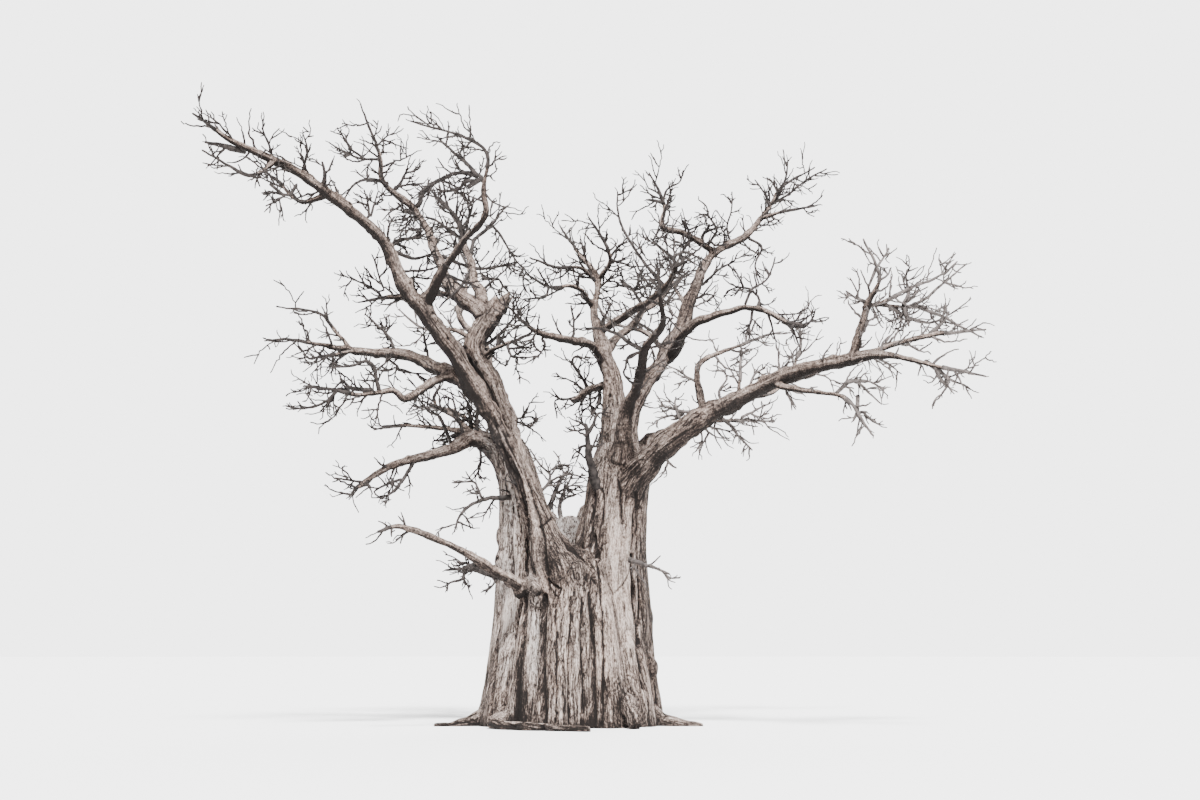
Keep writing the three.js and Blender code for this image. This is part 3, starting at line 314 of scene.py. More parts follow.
# Smaller branches yet: the mass, the half thickness at the foot, how many twigs, and the way from the foot
smallBranches = [
    ("long_left", 0.05, 4, [(-4.75, -2.5, 12.36), (-4.4, -2.2, 12.65), (-4.08, -2, 12.75),
     (-3.82, -1.7, 12.94)]),
    ("long_left", 0.035, 4, [(-6.86, -3.45, 14.07), (-6.68, -3.75, 14.63), (-6.76, -3.95, 14.99)]),
    ("high_left", 0.055, 6, [(-3.71, 1.1, 13.01), (-2.92, 1.9, 12.9), (-2.36, 2.5, 12.98),
     (-1.69, 3.1, 13.24)]),
    ("inner_left", 0.035, 6, [(-2.35, 2.4, 14.25), (-1.95, 2.45, 13.75), (-1.65, 2.4, 13.2),
     (-1.21, 2.3, 12.66)]),
    ("upper_left_arm", 0.045, 5, [(-4.8, 0.24, 10.07), (-5.08, 0.64, 10.59), (-5.46, 0.94, 10.96),
     (-5.82, 1.24, 11.36)]),
    ("middle_left_arm", 0.04, 4, [(-4.92, -2.22, 8.59), (-5.08, -1.92, 9.2), (-5.33, -1.62, 9.46)]),
    ("grey_arm", 0.05, 4, [(-2.85, 0.21, 7.62), (-3.05, 0.5, 8.2), (-3.3, 0.81, 9)]),
    ("grey_arm", 0.045, 3, [(-2.56, 0.33, 7.7), (-2.51, 0.03, 8.17), (-2.52, -0.17, 8.45)]),
    ("grey_arm", 0.05, 5, [(-3.15, 0.05, 7.39), (-3.6, 0.65, 8.31), (-3.97, 0.95, 8.55),
     (-4.29, 1.25, 8.99)]),
    ("grey_arm", 0.03, 3, [(-5.43, -1.07, 6.36), (-5.82, -1.27, 6.42), (-6.13, -1.47, 6.43)]),
    ("grey_arm", 0.04, 4, [(-2.47, 0.37, 7.6), (-2.41, -0.03, 6.93), (-2.56, -0.13, 6.57)]),
    ("leader_spray", 0.055, 6, [(-2.6, -0.12, 10.08), (-2.1, 0.35, 10.5), (-1.77, 0.68, 10.91),
     (-1.29, 1.08, 11.56)]),
    ("right_leader", 0.035, 5, [(5.27, 3.25, 14.04), (5.56, 2.9, 13.68), (5.35, 2.6, 13.15),
     (5.44, 2.4, 12.48)]),
    ("right_arm", 0.045, 4, [(5.05, -1, 11.05), (5.13, -0.7, 11.41), (4.86, -0.4, 11.75)]),
    ("hanging_right", 0.045, 5, [(6.73, -3.64, 8.31), (7.06, -3.94, 8.56), (7.42, -4.14, 8.55),
     (7.74, -4.44, 8.38)]),
    ("right_post", 0.045, 8, [(8.1, -3.2, 10.72), (8.8, -2.7, 10.5), (9.5, -2.3, 10.45), (10.2, -2, 10.8)]),
    ("right_leader", 0.04, 6, [(5.95, 3.7, 15.2), (6.5, 3.5, 15.5), (7, 3.4, 15.9), (7.6, 3.3, 16.2)]),
    ("long_left", 0.045, 4, [(-4.7, -2.5, 12.36), (-4.47, -2.2, 12.62), (-4.17, -1.9, 12.78),
     (-3.96, -1.6, 13.02)]),
    ("long_left", 0.05, 4, [(-4.67, -2.5, 12.33), (-4.39, -2.2, 12.25), (-4.08, -1.9, 12.24),
     (-3.77, -1.6, 12.39), (-3.58, -1.4, 12.46)]),
    ("long_left", 0.04, 3, [(-4.32, -2.2, 11.6), (-4.07, -1.9, 11.72), (-3.76, -1.6, 11.73)]),
    ("long_left", 0.032, 3, [(-4.4, -2.3, 11.79), (-4.06, -2, 11.85), (-3.77, -1.8, 11.91),
     (-3.52, -1.6, 12.09)]),
    ("long_left", 0.026, 2, [(-4.72, -2.5, 12.39), (-4.72, -2.6, 12.77), (-4.63, -2.7, 13.01)]),
    ("high_left", 0.06, 7, [(-4.41, 1.6, 14.3), (-4.62, 1.4, 14.37), (-4.82, 1.2, 14.32)]),
    ("high_left", 0.04, 5, [(-4.38, 1.6, 14.21), (-4.66, 1.8, 14.33), (-4.92, 2, 14.29)]),
    ("high_left", 0.026, 4, [(-4.25, 1.5, 13.92), (-4.57, 1.3, 13.84), (-4.8, 1.1, 13.73)]),
    ("crossing", 0.07, 5, [(-2.72, -3, 12.53), (-2.77, -3.1, 12.85), (-2.99, -3.3, 13.09),
     (-3.26, -3.4, 13.33), (-3.39, -3.5, 13.48)]),
    ("crossing", 0.045, 4, [(-2.78, -2.95, 12.52), (-3.11, -2.7, 12.79), (-3.45, -2.5, 13.06),
     (-3.74, -2.3, 13.25)]),
    ("crossing", 0.05, 3, [(-3.34, -2.4, 11.66), (-3.06, -2.3, 11.63), (-2.81, -2.1, 11.57),
     (-2.36, -1.8, 11.45)]),
    ("crossing", 0.022, 3, [(-2.08, -3.9, 13.43), (-1.93, -3.7, 13.27), (-1.67, -3.4, 13.22)]),
    ("inner_left", 0.048, 2, [(-2.81, 0.8, 12.56), (-3.04, 0.3, 11.93), (-3.39, 0, 11.53),
     (-3.59, -0.2, 11.24)]),
    ("inner_left", 0.036, 5, [(-2.79, 0.9, 12.58), (-2.3, 0.4, 12.5), (-1.89, 0, 12.49),
     (-1.48, -0.4, 12.48)]),
    ("inner_left", 0.045, 3, [(-2.49, 0.35, 11.83), (-2.25, 0.6, 12.09), (-2.07, 0.8, 12.3),
     (-1.97, 0.9, 12.47)]),
    ("inner_left", 0.026, 4, [(-2.02, 0.85, 12.28), (-1.84, 1.1, 12.05), (-1.65, 1.3, 11.86)]),
    ("right_leader", 0.055, 6, [(3.81, 2.6, 13.81), (3.86, 2.5, 14.03), (4.12, 2.4, 14.12),
     (4.46, 2.2, 14.16)]),
    ("right_leader", 0.034, 5, [(4.24, 2.4, 14.06), (4.08, 2.2, 14.31), (3.86, 2, 14.47), (3.53, 1.8, 14.3)]),
    ("right_leader", 0.03, 4, [(4.68, 2.95, 13.84), (4.61, 3, 14.31), (4.71, 3.1, 14.82),
     (4.75, 3.2, 15.46)]),
    ("right_leader", 0.045, 5, [(3.42, 2.45, 13.87), (3.38, 2.2, 14.04), (3.25, 2, 14.26)]),
    ("right_leader", 0.036, 4, [(3.8, 2.15, 12.43), (4.07, 1.9, 12.67), (4.29, 1.7, 12.8),
     (4.62, 1.5, 12.93), (4.73, 1.4, 13.14)]),
    ("right_leader", 0.03, 3, [(4.07, 2.6, 13.81), (4.2, 2.3, 13.62), (4.49, 2, 13.58)]),
    ("right_arm", 0.026, 3, [(4.93, -0.6, 11.65), (5.32, -0.5, 11.9), (5.53, -0.4, 12.26),
     (5.63, -0.3, 12.64)]),
    ("right_arm", 0.022, 3, [(4.9, -0.6, 11.68), (4.65, -0.4, 11.78), (4.31, -0.2, 11.71)]),
    ("pale_arm", 0.04, 4, [(2.73, -1.9, 12.26), (3.06, -1.6, 12.44), (3.34, -1.4, 12.41),
     (3.62, -1.2, 12.35)]),
    ("pale_arm", 0.028, 3, [(3.06, -1.6, 12.44), (3.03, -1.7, 12.61), (2.81, -1.8, 12.72)]),
    ("stubby_arm", 0.045, 5, [(0.51, 1.1, 9.14), (0.29, 0.8, 9.51), (0.07, 0.6, 9.87),
     (0.18, 0.5, 10.02), (0.49, 0.4, 9.87)]),
    ("stubby_arm", 0.03, 3, [(0.17, 1.4, 8.98), (-0.14, 1.6, 8.98), (-0.43, 1.7, 8.94), (-0.4, 1.8, 8.47)]),
    ("stubby_arm", 0.045, 4, [(0.76, 0.7, 9.16), (0.82, 0.6, 8.86), (0.71, 0.5, 8.54), (0.55, 0.4, 8.22)]),
    ("stubby_arm", 0.034, 4, [(0.46, 1.1, 9.08), (0.12, 1.3, 9.37), (-0.17, 1.5, 9.57)]),
    ("stubby_arm", 0.026, 3, [(0.54, 1, 8.98), (0.6, 0.9, 8.63), (0.82, 0.8, 8.33)]),
    ("leader_spray", 0.034, 4, [(-1.65, -1, 10.01), (-1.53, -1.2, 9.72), (-1.39, -1.3, 9.63),
     (-1.43, -1.5, 9.3)]),
    ("leader_spray", 0.036, 4, [(-2.18, -0.2, 9.87), (-2, -0.5, 10.15), (-1.8, -0.7, 10.42),
     (-1.66, -0.9, 10.71)]),
    ("leader_spray", 0.026, 3, [(-1.65, -1, 9.95), (-1.28, -1.3, 9.95), (-0.9, -1.6, 10.06)]),
    ("left_centre_arm", 0.036, 3, [(-0.72, -1.4, 10.15), (-0.64, -1.5, 9.97), (-0.74, -1.7, 9.74),
     (-1.02, -1.9, 9.47)]),
    ("middle_left_arm", 0.055, 4, [(-4.92, -2.2, 8.63), (-4.99, -2.3, 8.95), (-5.06, -2.4, 9.22),
     (-5.26, -2.5, 9.34), (-5.58, -2.6, 9.22), (-6.13, -2.7, 9.2)]),
    ("middle_left_arm", 0.03, 2, [(-5.02, -2.3, 9.14), (-4.86, -2, 9.34), (-4.73, -1.8, 9.51)]),
    ("upper_left_arm", 0.032, 4, [(-5, 0.3, 9.88), (-4.76, 0.2, 9.69), (-4.69, 0.1, 9.56),
     (-4.3, 0, 9.46), (-3.9, -0.1, 9.42)]),
    ("upper_left_arm", 0.04, 3, [(-6.25, 0.7, 10.2), (-6.66, 0.5, 10), (-6.98, 0.4, 9.95),
     (-7.21, 0.3, 9.91), (-7.47, 0.2, 10.25)]),
    ("middle_left_arm", 0.045, 3, [(-5.93, -2.6, 8.62), (-6.17, -2.8, 8.33), (-6.46, -3, 8.09),
     (-6.8, -3.1, 8.02), (-7.14, -3.2, 8.09)]),
    ("middle_left_arm", 0.032, 3, [(-5.98, -2.6, 8.54), (-6.13, -2.4, 8.33), (-6.44, -2.2, 8.07)]),
    ("middle_left_arm", 0.055, 3, [(-5.13, -2.2, 8.63), (-5.63, -2, 8.74), (-5.83, -1.9, 8.86),
     (-5.98, -1.8, 8.95), (-6.13, -1.8, 8.77)]),
    ("great_right", 0.036, 3, [(3.51, -1.4, 7.92), (3.7, -1.3, 7.67), (3.87, -1.2, 7.57)]),
    ("great_right", 0.03, 3, [(3.56, -1.5, 7.85), (3.86, -1.3, 7.77), (4.27, -1.1, 7.72)]),
    ("great_right", 0.026, 3, [(3.46, -1.4, 7.79), (3.51, -1.3, 7.45), (3.36, -1.2, 7.17)]),
    ("low_right_spray", 0.045, 4, [(4.03, -1.2, 8.08), (4.31, -1, 7.89), (4.61, -0.8, 7.54),
     (4.9, -0.6, 7.27)]),
    ("low_right_spray", 0.034, 3, [(4.61, -0.9, 8.12), (5.05, -0.6, 8.38), (5.37, -0.3, 8.56)]),
    ("upright_right", 0.045, 5, [(3.28, -1.35, 8.17), (2.95, -1.1, 8.26), (2.74, -0.9, 8.37),
     (2.44, -0.6, 8.46)]),
    ("upright_right", 0.032, 3, [(2.89, -1.1, 8.18), (2.82, -1, 8.46), (2.85, -0.9, 8.66)]),
    ("upright_right", 0.03, 4, [(2.95, -1.1, 8.12), (2.64, -0.9, 8.12), (2.3, -0.7, 8.04)]),
    ("back_spray", 0.075, 2, [(-0.64, 1.8, 5.83), (-0.43, 2.1, 6.39), (-0.21, 2.4, 6.88),
     (-0.07, 2.5, 7.06)]),
    ("back_spray", 0.04, 4, [(-0.82, 1.2, 6.31), (-0.6, 1.3, 6.57), (-0.55, 1.4, 6.83),
     (-0.78, 1.5, 7.04), (-0.98, 1.6, 7.28), (-1.15, 1.7, 7.57)]),
    ("back_spray", 0.028, 3, [(-0.55, 1.4, 6.81), (-0.39, 1.5, 7.04), (-0.22, 1.6, 7.11),
     (-0.02, 1.7, 7.04)]),
    ("back_spray", 0.028, 3, [(-0.58, 1.35, 6.63), (-0.3, 1.5, 6.79), (0.01, 1.6, 6.85), (0.37, 1.6, 6.74)]),
    ("back_spray", 0.026, 3, [(-0.34, 2, 6.39), (-0, 2, 6.56), (0.34, 2, 6.56)]),
    ("column_shoot", 0.05, 3, [(0.5, -0.95, 7.77), (0.37, -1, 7.92), (0.21, -1.05, 8)]),
    ("column_shoot", 0.05, 3, [(0.5, -0.95, 7.69), (0.66, -0.8, 7.95), (0.82, -0.6, 8.27),
     (0.98, -0.5, 8.21)]),
    ("column_shoot", 0.036, 3, [(0.55, -0.8, 7.36), (0.74, -0.7, 7.34), (0.93, -0.6, 7.46)]),
    ("column_shoot", 0.034, 2, [(0.42, -0.8, 7.36), (0.31, -0.8, 7.33), (0.29, -0.8, 7.22)]),
    ("great_right", 0.1, 8, [(5.04, -2.1, 8.9), (5.41, -1.9, 9.15), (5.75, -1.7, 9.42)]),
    ("right_arm", 0.04, 5, [(5.68, -1.5, 10.59), (5.91, -1.6, 10.49), (6.21, -1.7, 10.42),
     (6.42, -1.8, 10.61), (6.49, -1.9, 10.81)]),
    ("right_post", 0.045, 4, [(7.56, -3.6, 10.69), (7.29, -3.7, 10.77), (7.03, -3.8, 10.93)]),
    ("right_post", 0.036, 4, [(7.77, -4, 11.48), (7.94, -3.9, 11.71), (8.12, -3.8, 11.99)]),
    ("right_post", 0.06, 5, [(8.62, -2.9, 10.76), (8.67, -2.9, 10.52), (8.76, -2.9, 10.21)]),
    ("right_post", 0.05, 5, [(9.02, -2.6, 10.79), (9.4, -2.5, 10.66), (9.83, -2.4, 10.49),
     (10.34, -2.3, 10.25), (10.79, -2.2, 10.05)]),
    ("right_post", 0.04, 7, [(8.65, -2.9, 10.84), (8.76, -2.9, 11.1), (8.72, -2.9, 11.42),
     (8.75, -2.9, 11.68)]),
    ("right_end", 0.06, 5, [(9.36, -2.6, 10.08), (9.59, -2.5, 10.29), (9.8, -2.4, 10.52),
     (9.93, -2.3, 10.7)]),
    ("great_right", 0.055, 3, [(9.12, -4.4, 8.86), (9.21, -4.4, 8.63), (9.35, -4.4, 8.41),
     (9.25, -4.4, 8.23)]),
    ("great_right", 0.045, 3, [(9.17, -4.4, 8.81), (9.44, -4.5, 8.57), (9.78, -4.6, 8.4)]),
    ("hanging_right", 0.04, 2, [(7.19, -4.1, 7.8), (7.09, -4.1, 7.58)]),
    ("column_spray", 0.034, 3, [(-2.26, -1.2, 5.85), (-2.4, -1.2, 6.17), (-2.5, -1.2, 6.35),
     (-2.77, -1.2, 6.35), (-3.03, -1.2, 6.35)]),
    ("shoulder_spray", 0.026, 2, [(-3.07, 0.6, 7.91), (-3.54, 0.6, 7.69), (-3.78, 0.6, 7.64),
     (-3.75, 0.6, 7.33)]),
    ("shoulder_spray", 0.05, 5, [(-2.57, 0.6, 7.97), (-2.62, 0.8, 8.39), (-2.53, 1, 8.75)]),
    ("leader_spray", 0.028, 3, [(-1.52, -0.5, 8.1), (-1.28, -0.6, 7.98), (-1.03, -0.7, 7.93),
     (-0.84, -0.8, 8.06)]),
    ("leader_spray", 0.028, 3, [(-1.47, -0.5, 8.12), (-1.21, -0.4, 8.19), (-0.99, -0.3, 8.21)]),
    ("low_left_side", 0.04, 2, [(-2.67, -1.8, 4.06), (-2.71, -1.8, 3.75), (-3.04, -1.9, 3.67),
     (-3.11, -1.9, 3.47)]),
    ("high_left", 0.075, 5, [(-4.36, 1.6, 14.69), (-4.29, 1.7, 15.04), (-4.02, 1.8, 15.34),
     (-3.65, 1.9, 15.55), (-3.25, 2, 15.73)]),
    ("crossing", 0.05, 3, [(-2.23, -3.9, 13.79), (-2.58, -3.7, 13.8), (-2.8, -3.5, 13.7),
     (-3.11, -3.4, 13.64), (-3.38, -3.3, 13.73)]),
    ("high_left", 0.04, 4, [(-5.05, 1.5, 15.13), (-4.7, 1.5, 15.19), (-4.24, 1.5, 15.25)]),
    ("high_left", 0.04, 3, [(-4.93, 1.5, 15.22), (-4.79, 1.5, 15.52), (-4.57, 1.5, 15.58),
     (-4.37, 1.5, 15.7)]),
    ("right_leader", 0.04, 3, [(5.89, 3.6, 15.17), (5.77, 3.5, 15.51), (5.46, 3.4, 15.89)]),
    ("right_leader", 0.045, 3, [(6.08, 3.7, 15.26), (6.23, 3.6, 15.63), (6.4, 3.5, 16.04),
     (6.46, 3.4, 16.51)]),
    ("right_leader", 0.06, 2, [(2.69, 2.2, 14.85), (2.42, 2.1, 14.88), (2.16, 2, 14.89)]),
    ("right_leader", 0.035, 3, [(2.66, 2.2, 14.88), (2.75, 2.2, 15.24), (3.1, 2.2, 15.45),
     (3.22, 2.2, 15.66)]),
    ("long_left", 0.035, 4, [(-7.58, -3.7, 14.43), (-7.62, -3.8, 14.67), (-7.73, -3.9, 14.93),
     (-7.8, -4, 15.13)]),
    ("high_left", 0.03, 3, [(-6, 0.8, 15.87), (-6.26, 0.6, 16.02), (-6.44, 0.5, 16.31), (-6.57, 0.4, 16.48)]),
    ("high_left", 0.03, 3, [(-5.59, 1.1, 16.17), (-5.35, 1.2, 16.5), (-5.14, 1.3, 16.68)]),
    ("crossing", 0.03, 3, [(-2.63, -3.2, 12.72), (-2.52, -3.3, 13.09), (-2.62, -3.4, 13.46),
     (-2.75, -3.5, 13.62)]),
    ("crossing", 0.03, 3, [(-2.66, -3.2, 12.82), (-2.5, -3, 13.25), (-2.46, -2.9, 13.57)]),
    ("upright_right", 0.03, 4, [(3.4, -1.2, 9), (3.17, -1, 9.16), (2.97, -0.8, 9.39), (2.66, -0.6, 9.56)]),
    ("right_arm", 0.03, 4, [(4.92, -0.9, 10.95), (4.86, -0.9, 10.63), (4.72, -0.9, 10.35)]),
    ("great_right", 0.03, 3, [(4.74, -2, 8.79), (4.88, -1.9, 9.12), (5.16, -1.8, 9.3)]),
    ("great_right", 0.05, 3, [(2.47, -1, 7.17), (2.63, -0.9, 6.92), (2.85, -0.8, 6.77)]),
    ("hanging_right", 0.035, 2, [(6.89, -3.9, 8.56), (7.19, -3.9, 8.64), (7.46, -3.9, 8.39),
     (7.8, -3.9, 8.06)]),
    ("centre", 0.03, 3, [(-0.59, -0.8, 11.67), (-0.67, -0.9, 11.39), (-0.93, -1, 11.32),
     (-1.22, -1.1, 11.3)]),
    ("left_centre_arm", 0.03, 3, [(0.12, -0.7, 10.42), (0.12, -0.7, 10.8), (0.03, -0.7, 11.19)]),
    ("front_leader", 0.055, 2, [(1.91, -2.6, 9.64), (1.55, -2.2, 9.95), (1.22, -1.8, 10.26),
     (0.82, -1.4, 10.45), (0.5, -1.2, 10.43)]),
    ("front_leader", 0.04, 3, [(1.98, -2.8, 9.65), (2.3, -2.5, 9.73), (2.59, -2.3, 9.93)]),
    ("front_leader", 0.036, 2, [(1.88, -2.5, 9.6), (1.55, -2.3, 9.5), (1.5, -2.2, 9.26),
     (1.45, -2.1, 9.09), (1.66, -2, 8.84)]),
    ("front_leader", 0.04, 2, [(2.19, -3.5, 9.91), (1.97, -3.3, 10.1), (1.74, -3.1, 10.3),
     (1.49, -2.9, 10.57)]),
    ("cross_arm", 0.045, 4, [(2.08, 0.9, 11.46), (1.86, 0.8, 11.76), (1.74, 0.7, 11.96),
     (1.52, 0.6, 12.09), (1.41, 0.5, 12.41)]),
    ("cross_arm", 0.03, 3, [(1.77, 0.7, 11.94), (1.88, 0.6, 12.11), (1.85, 0.5, 12.41), (1.71, 0.4, 12.67)]),
    ("centre", 0.04, 3, [(1.13, 0.6, 12.77), (1.38, 0.5, 12.69), (1.68, 0.4, 12.58)]),
    ("centre", 0.035, 3, [(1.13, 0.6, 12.89), (1.3, 0.7, 13.14), (1.5, 0.8, 13.31)]),
    ("centre", 0.04, 4, [(0.74, 0.85, 11.97), (0.93, 0.8, 12.13), (1.16, 0.7, 12.31)]),
    ("centre", 0.03, 5, [(0.82, 0.5, 10.84), (0.99, 0.3, 11.14), (1.12, 0.2, 11.46)]),
    ("right_leader", 0.035, 4, [(3.61, 1.9, 11.96), (3.85, 1.7, 12.04), (4.09, 1.5, 11.94)]),
    ("long_left", 0.07, 1, [(-8.57, -4.1, 14.57), (-8.94, -4.05, 14.69), (-9.21, -4.1, 14.73)]),
    ("long_left", 0.035, 4, [(-7.01, -4.1, 13.32), (-7.25, -4.2, 13.34), (-7.53, -4.3, 13.39)]),
    ("long_left", 0.03, 3, [(-7.15, -4.2, 13.29), (-7.35, -4.3, 13.08), (-7.55, -4.4, 12.98)]),
    ("long_left", 0.035, 3, [(-5.2, -2.75, 13.15), (-5.22, -2.8, 13.44), (-5.32, -2.9, 13.81)]),
    ("long_left", 0.03, 3, [(-5.15, -2.75, 13.15), (-5.08, -2.7, 13.52), (-5, -2.6, 13.84)]),
    ("left_spur", 0.03, 4, [(-5.04, -1.9, 11.32), (-5.38, -1.8, 11.53), (-5.69, -1.7, 11.69),
     (-5.89, -1.6, 11.84)]),
    ("left_spur", 0.026, 3, [(-4.88, -1.95, 11.36), (-5.05, -1.9, 11.78), (-5.14, -1.85, 12.14),
     (-5.23, -1.8, 12.34)]),
    ("upper_left_arm", 0.03, 5, [(-5.13, 1, 10.57), (-5.23, 1.1, 10.87), (-5.16, 1.2, 11.12)]),
    ("upper_left_arm", 0.03, 4, [(-3.88, -0.1, 9.89), (-3.95, 0, 10.24), (-4.05, 0.1, 10.68)]),
    ("great_right", 0.03, 3, [(4.02, -1.7, 8.41), (3.96, -1.6, 8.69), (4.18, -1.5, 9.03),
     (4.11, -1.4, 9.26), (3.8, -1.3, 9.3)]),
    ("hanging_right", 0.045, 1, [(7.19, -4.1, 7.8), (7.42, -4.2, 7.79)]),
    ("low_left_side", 0.036, 3, [(-2.35, -1.5, 4.05), (-2.65, -1.7, 4.2), (-2.87, -1.8, 4.22)]),
    ("grey_arm", 0.034, 3, [(-4.47, -0.9, 6.46), (-4.84, -1.1, 6.31), (-5.11, -1.2, 6.09),
     (-4.92, -1.2, 5.9)]),
]
smallest = {"tip": 0.012, "tipShare": 0.3, "reach": 0.3, "reachPerGirth": 6.0}
for number, (host, girth, twigs, points) in enumerate(smallBranches):
    tipGirth = max(smallest["tip"], smallest["tipShare"] * girth)
    girths = np.linspace(girth, tipGirth, len(points))
    limbs[f"{host}_branch_{number}"] = {
        "of": host, "reach": smallest["reach"] + smallest["reachPerGirth"] * girth,
        "twigs": twigs, "seed": 500 + 7 * number,
        "route": [(*point, size) for point, size in zip(points, girths)],
    }
print("plan read,", len(limbs), "limbs")


def between(pair, share):
    return pair[0] + (pair[1] - pair[0]) * share


def smoothStep(value, low, high):
    share = np.clip((value - low) / (high - low), 0, 1)
    return share * share * (3 - 2 * share)


def unit(vectors):
    return vectors / np.maximum(np.linalg.norm(vectors, axis=-1, keepdims=True), 1e-9)


# The same draws as the solids' rule makes
def seeded(seed):
    state = [seed & 0xFFFFFFFF]

    def draw():
        state[0] = (state[0] + 0x6D2B79F5) & 0xFFFFFFFF
        mixed = ((state[0] ^ (state[0] >> 15)) * (1 | state[0])) & 0xFFFFFFFF
        turned = ((mixed ^ (mixed >> 7)) * (61 | mixed)) & 0xFFFFFFFF
        mixed = ((mixed + turned) & 0xFFFFFFFF) ^ mixed
        return ((mixed ^ (mixed >> 14)) & 0xFFFFFFFF) / 4294967296

    return draw


# Smooth noise from -1 to 1 at each place
def latticeNoise(places, seed=0):
    cell = np.floor(places).astype(np.int64)
    part = places - cell
    part = part * part * (3 - 2 * part)
    total = np.zeros(len(places))
    for corner in range(8):
        step = np.array([corner & 1, corner >> 1 & 1, corner >> 2 & 1])
        x, y, z = (cell + step).T
        mixed = (x * 374761393 + y * 668265263 + z * 2147483647 + seed * 1442695041) & 0xFFFFFFFF
        mixed = ((mixed ^ (mixed >> 13)) * 1274126177) & 0xFFFFFFFF
        value = ((mixed ^ (mixed >> 16)) & 0xFFFF) / 32767.5 - 1
        weight = np.prod(np.where(step, part, 1 - part), axis=1)
        total += weight * value
    return total


def lengthAlong(places):
    return np.concatenate([[0], np.cumsum(np.linalg.norm(np.diff(places, axis=0), axis=1))])


crookPlan = {
    "footEase": 0.6, "tipEase": 0.4, "mostGirth": 0.22, "least": 0.012,
    "longBend": 1.25, "shortBend": 3.1, "shortShare": 0.45,
    "longSwell": 2.1, "longSwellShare": 0.1, "shortSwell": 5.0, "shortSwellShare": 0.05,
}


# Small bends and swellings, as a limb has that has lost many shoots
def crooked(place, girth, seed, crook):
    plan = crookPlan
    along = lengthAlong(place)
    ease = np.clip(along / plan["footEase"], 0, 1)
    ease *= np.clip((along[-1] - along) / plan["tipEase"], 0, 1)

    def waver(pace, row):
        beside = np.full(len(along), seed * 0.37 + row * 5.3)
        track = np.stack([along * pace, beside, np.full(len(along), 0.5)], 1)
        return latticeNoise(track, 31 + row)

    swing = np.stack([
        waver(plan["longBend"], row) + plan["shortShare"] * waver(plan["shortBend"], row + 4)
        for row in range(3)
    ], 1)
    amount = (crook * np.minimum(girth, plan["mostGirth"]) + plan["least"]) * ease
    swelling = plan["longSwellShare"] * waver(plan["longSwell"], 8)
    swelling += plan["shortSwellShare"] * waver(plan["shortSwell"], 9)
    return place + swing * amount[:, None], girth * (1 + ease * swelling)


# A limb's centre line as dense samples, with frames that turn as little as they can from foot to tip
def limbLine(route, spacing=0.09, flutes=0, old=False, seed=1, crook=0.0):
    knots = np.array([point[:3] for point in route], float)
    girths = np.array([point[3] for point in route], float)
    reached = np.vstack([2 * knots[0] - knots[1], knots, 2 * knots[-1] - knots[-2]])
    place, girth, span = [], [], []
    for k in range(len(knots) - 1):
        steps = max(3, int(np.linalg.norm(knots[k + 1] - knots[k]) / spacing))
        for step in range(steps + (k == len(knots) - 2)):
            t = step / steps
            before, start, end, after = reached[k:k + 4]
            leaving, arriving = 0.5 * (end - before), 0.5 * (after - start)
            place.append(
                (2 * t**3 - 3 * t**2 + 1) * start + (t**3 - 2 * t**2 + t) * leaving
                + (3 * t**2 - 2 * t**3) * end + (t**3 - t**2) * arriving
            )
            girth.append(between(girths[k:k + 2], t))
            span.append(k + t)
    place, girth = np.array(place), np.array(girth)
    if crook:
        place, girth = crooked(place, girth, seed, crook)
    heading = unit(np.gradient(place, axis=0))
    along = lengthAlong(place)
    outward = np.zeros_like(place)
    reference = np.array([0, 1, 0]) if abs(heading[0][1]) < 0.75 else np.array([1, 0, 0])
    for k in range(len(place)):
        carried = reference if k == 0 else outward[k - 1]
        outward[k] = unit(carried - heading[k] * carried.dot(heading[k]))
    sideways = np.cross(heading, outward)
    anchor = np.array([place[0].dot(outward[0]), place[0].dot(sideways[0]), place[0].dot(heading[0])])
    return {
        "place": place, "girth": girth, "span": np.array(span), "along": along,
        "heading": heading, "outward": outward, "sideways": sideways,
        "anchor": np.repeat(anchor[None], len(place), 0),
        "flutes": np.full(len(place), float(flutes)), "old": np.full(len(place), float(old)),
        "turnStart": np.full(len(place), (seed * 2.399) % 6.283),
    }


def rowBetween(at, marks, rows):
    return np.array([np.interp(at, marks, rows[:, k]) for k in range(3)])


def pointAt(line, span):
    return rowBetween(span, line["span"], line["place"])


def headingAt(line, span):
    return unit(rowBetween(span, line["span"], line["heading"]))


def girthAt(line, span):
    return float(np.interp(span, line["span"], line["girth"]))


def alongAt(line, span):
    return float(np.interp(span, line["span"], line["along"]))


# The part of a line between two lengths along it
def cutLine(line, start, end):
    kept = (line["along"] >= start) & (line["along"] <= end)
    return {key: values[kept] for key, values in line.items()}


def buttressRoute(bearing, girth, height):
    angle = math.radians(bearing)

    def at(inward, up, size):
        across = math.cos(angle) * (footPlan["across"] - girth - inward)
        back = math.sin(angle) * (footPlan["back"] - girth - inward)
        return (across, back, up, size)

    lean = footPlan["lean"]
    return [
        at(-0.08, -footPlan["groundDepth"], girth * 1.15), at(0, 0.18 * height, girth),
        at(0.5 * lean, 0.6 * height, girth * 0.8), at(lean, height, girth * 0.3),
    ]


columnLines = {
    name: limbLine(column["route"], flutes=column["flutes"], old=True, seed=k)
    for k, (name, column) in enumerate(columns.items())
}
footLines = [limbLine(buttressRoute(*buttress), old=True, seed=k) for k, buttress in enumerate(buttresses)]
rootLines = [limbLine(route, old=True, seed=40 + k, crook=0.5) for k, route in enumerate(surfaceRoots)]
limbLines = {}
for name, limb in limbs.items():
    crook = limb.get("crook", 0.12 if "stem" in limb else 0.6)
    limbLines[name] = limbLine(limb["route"], seed=limb["seed"], crook=crook)

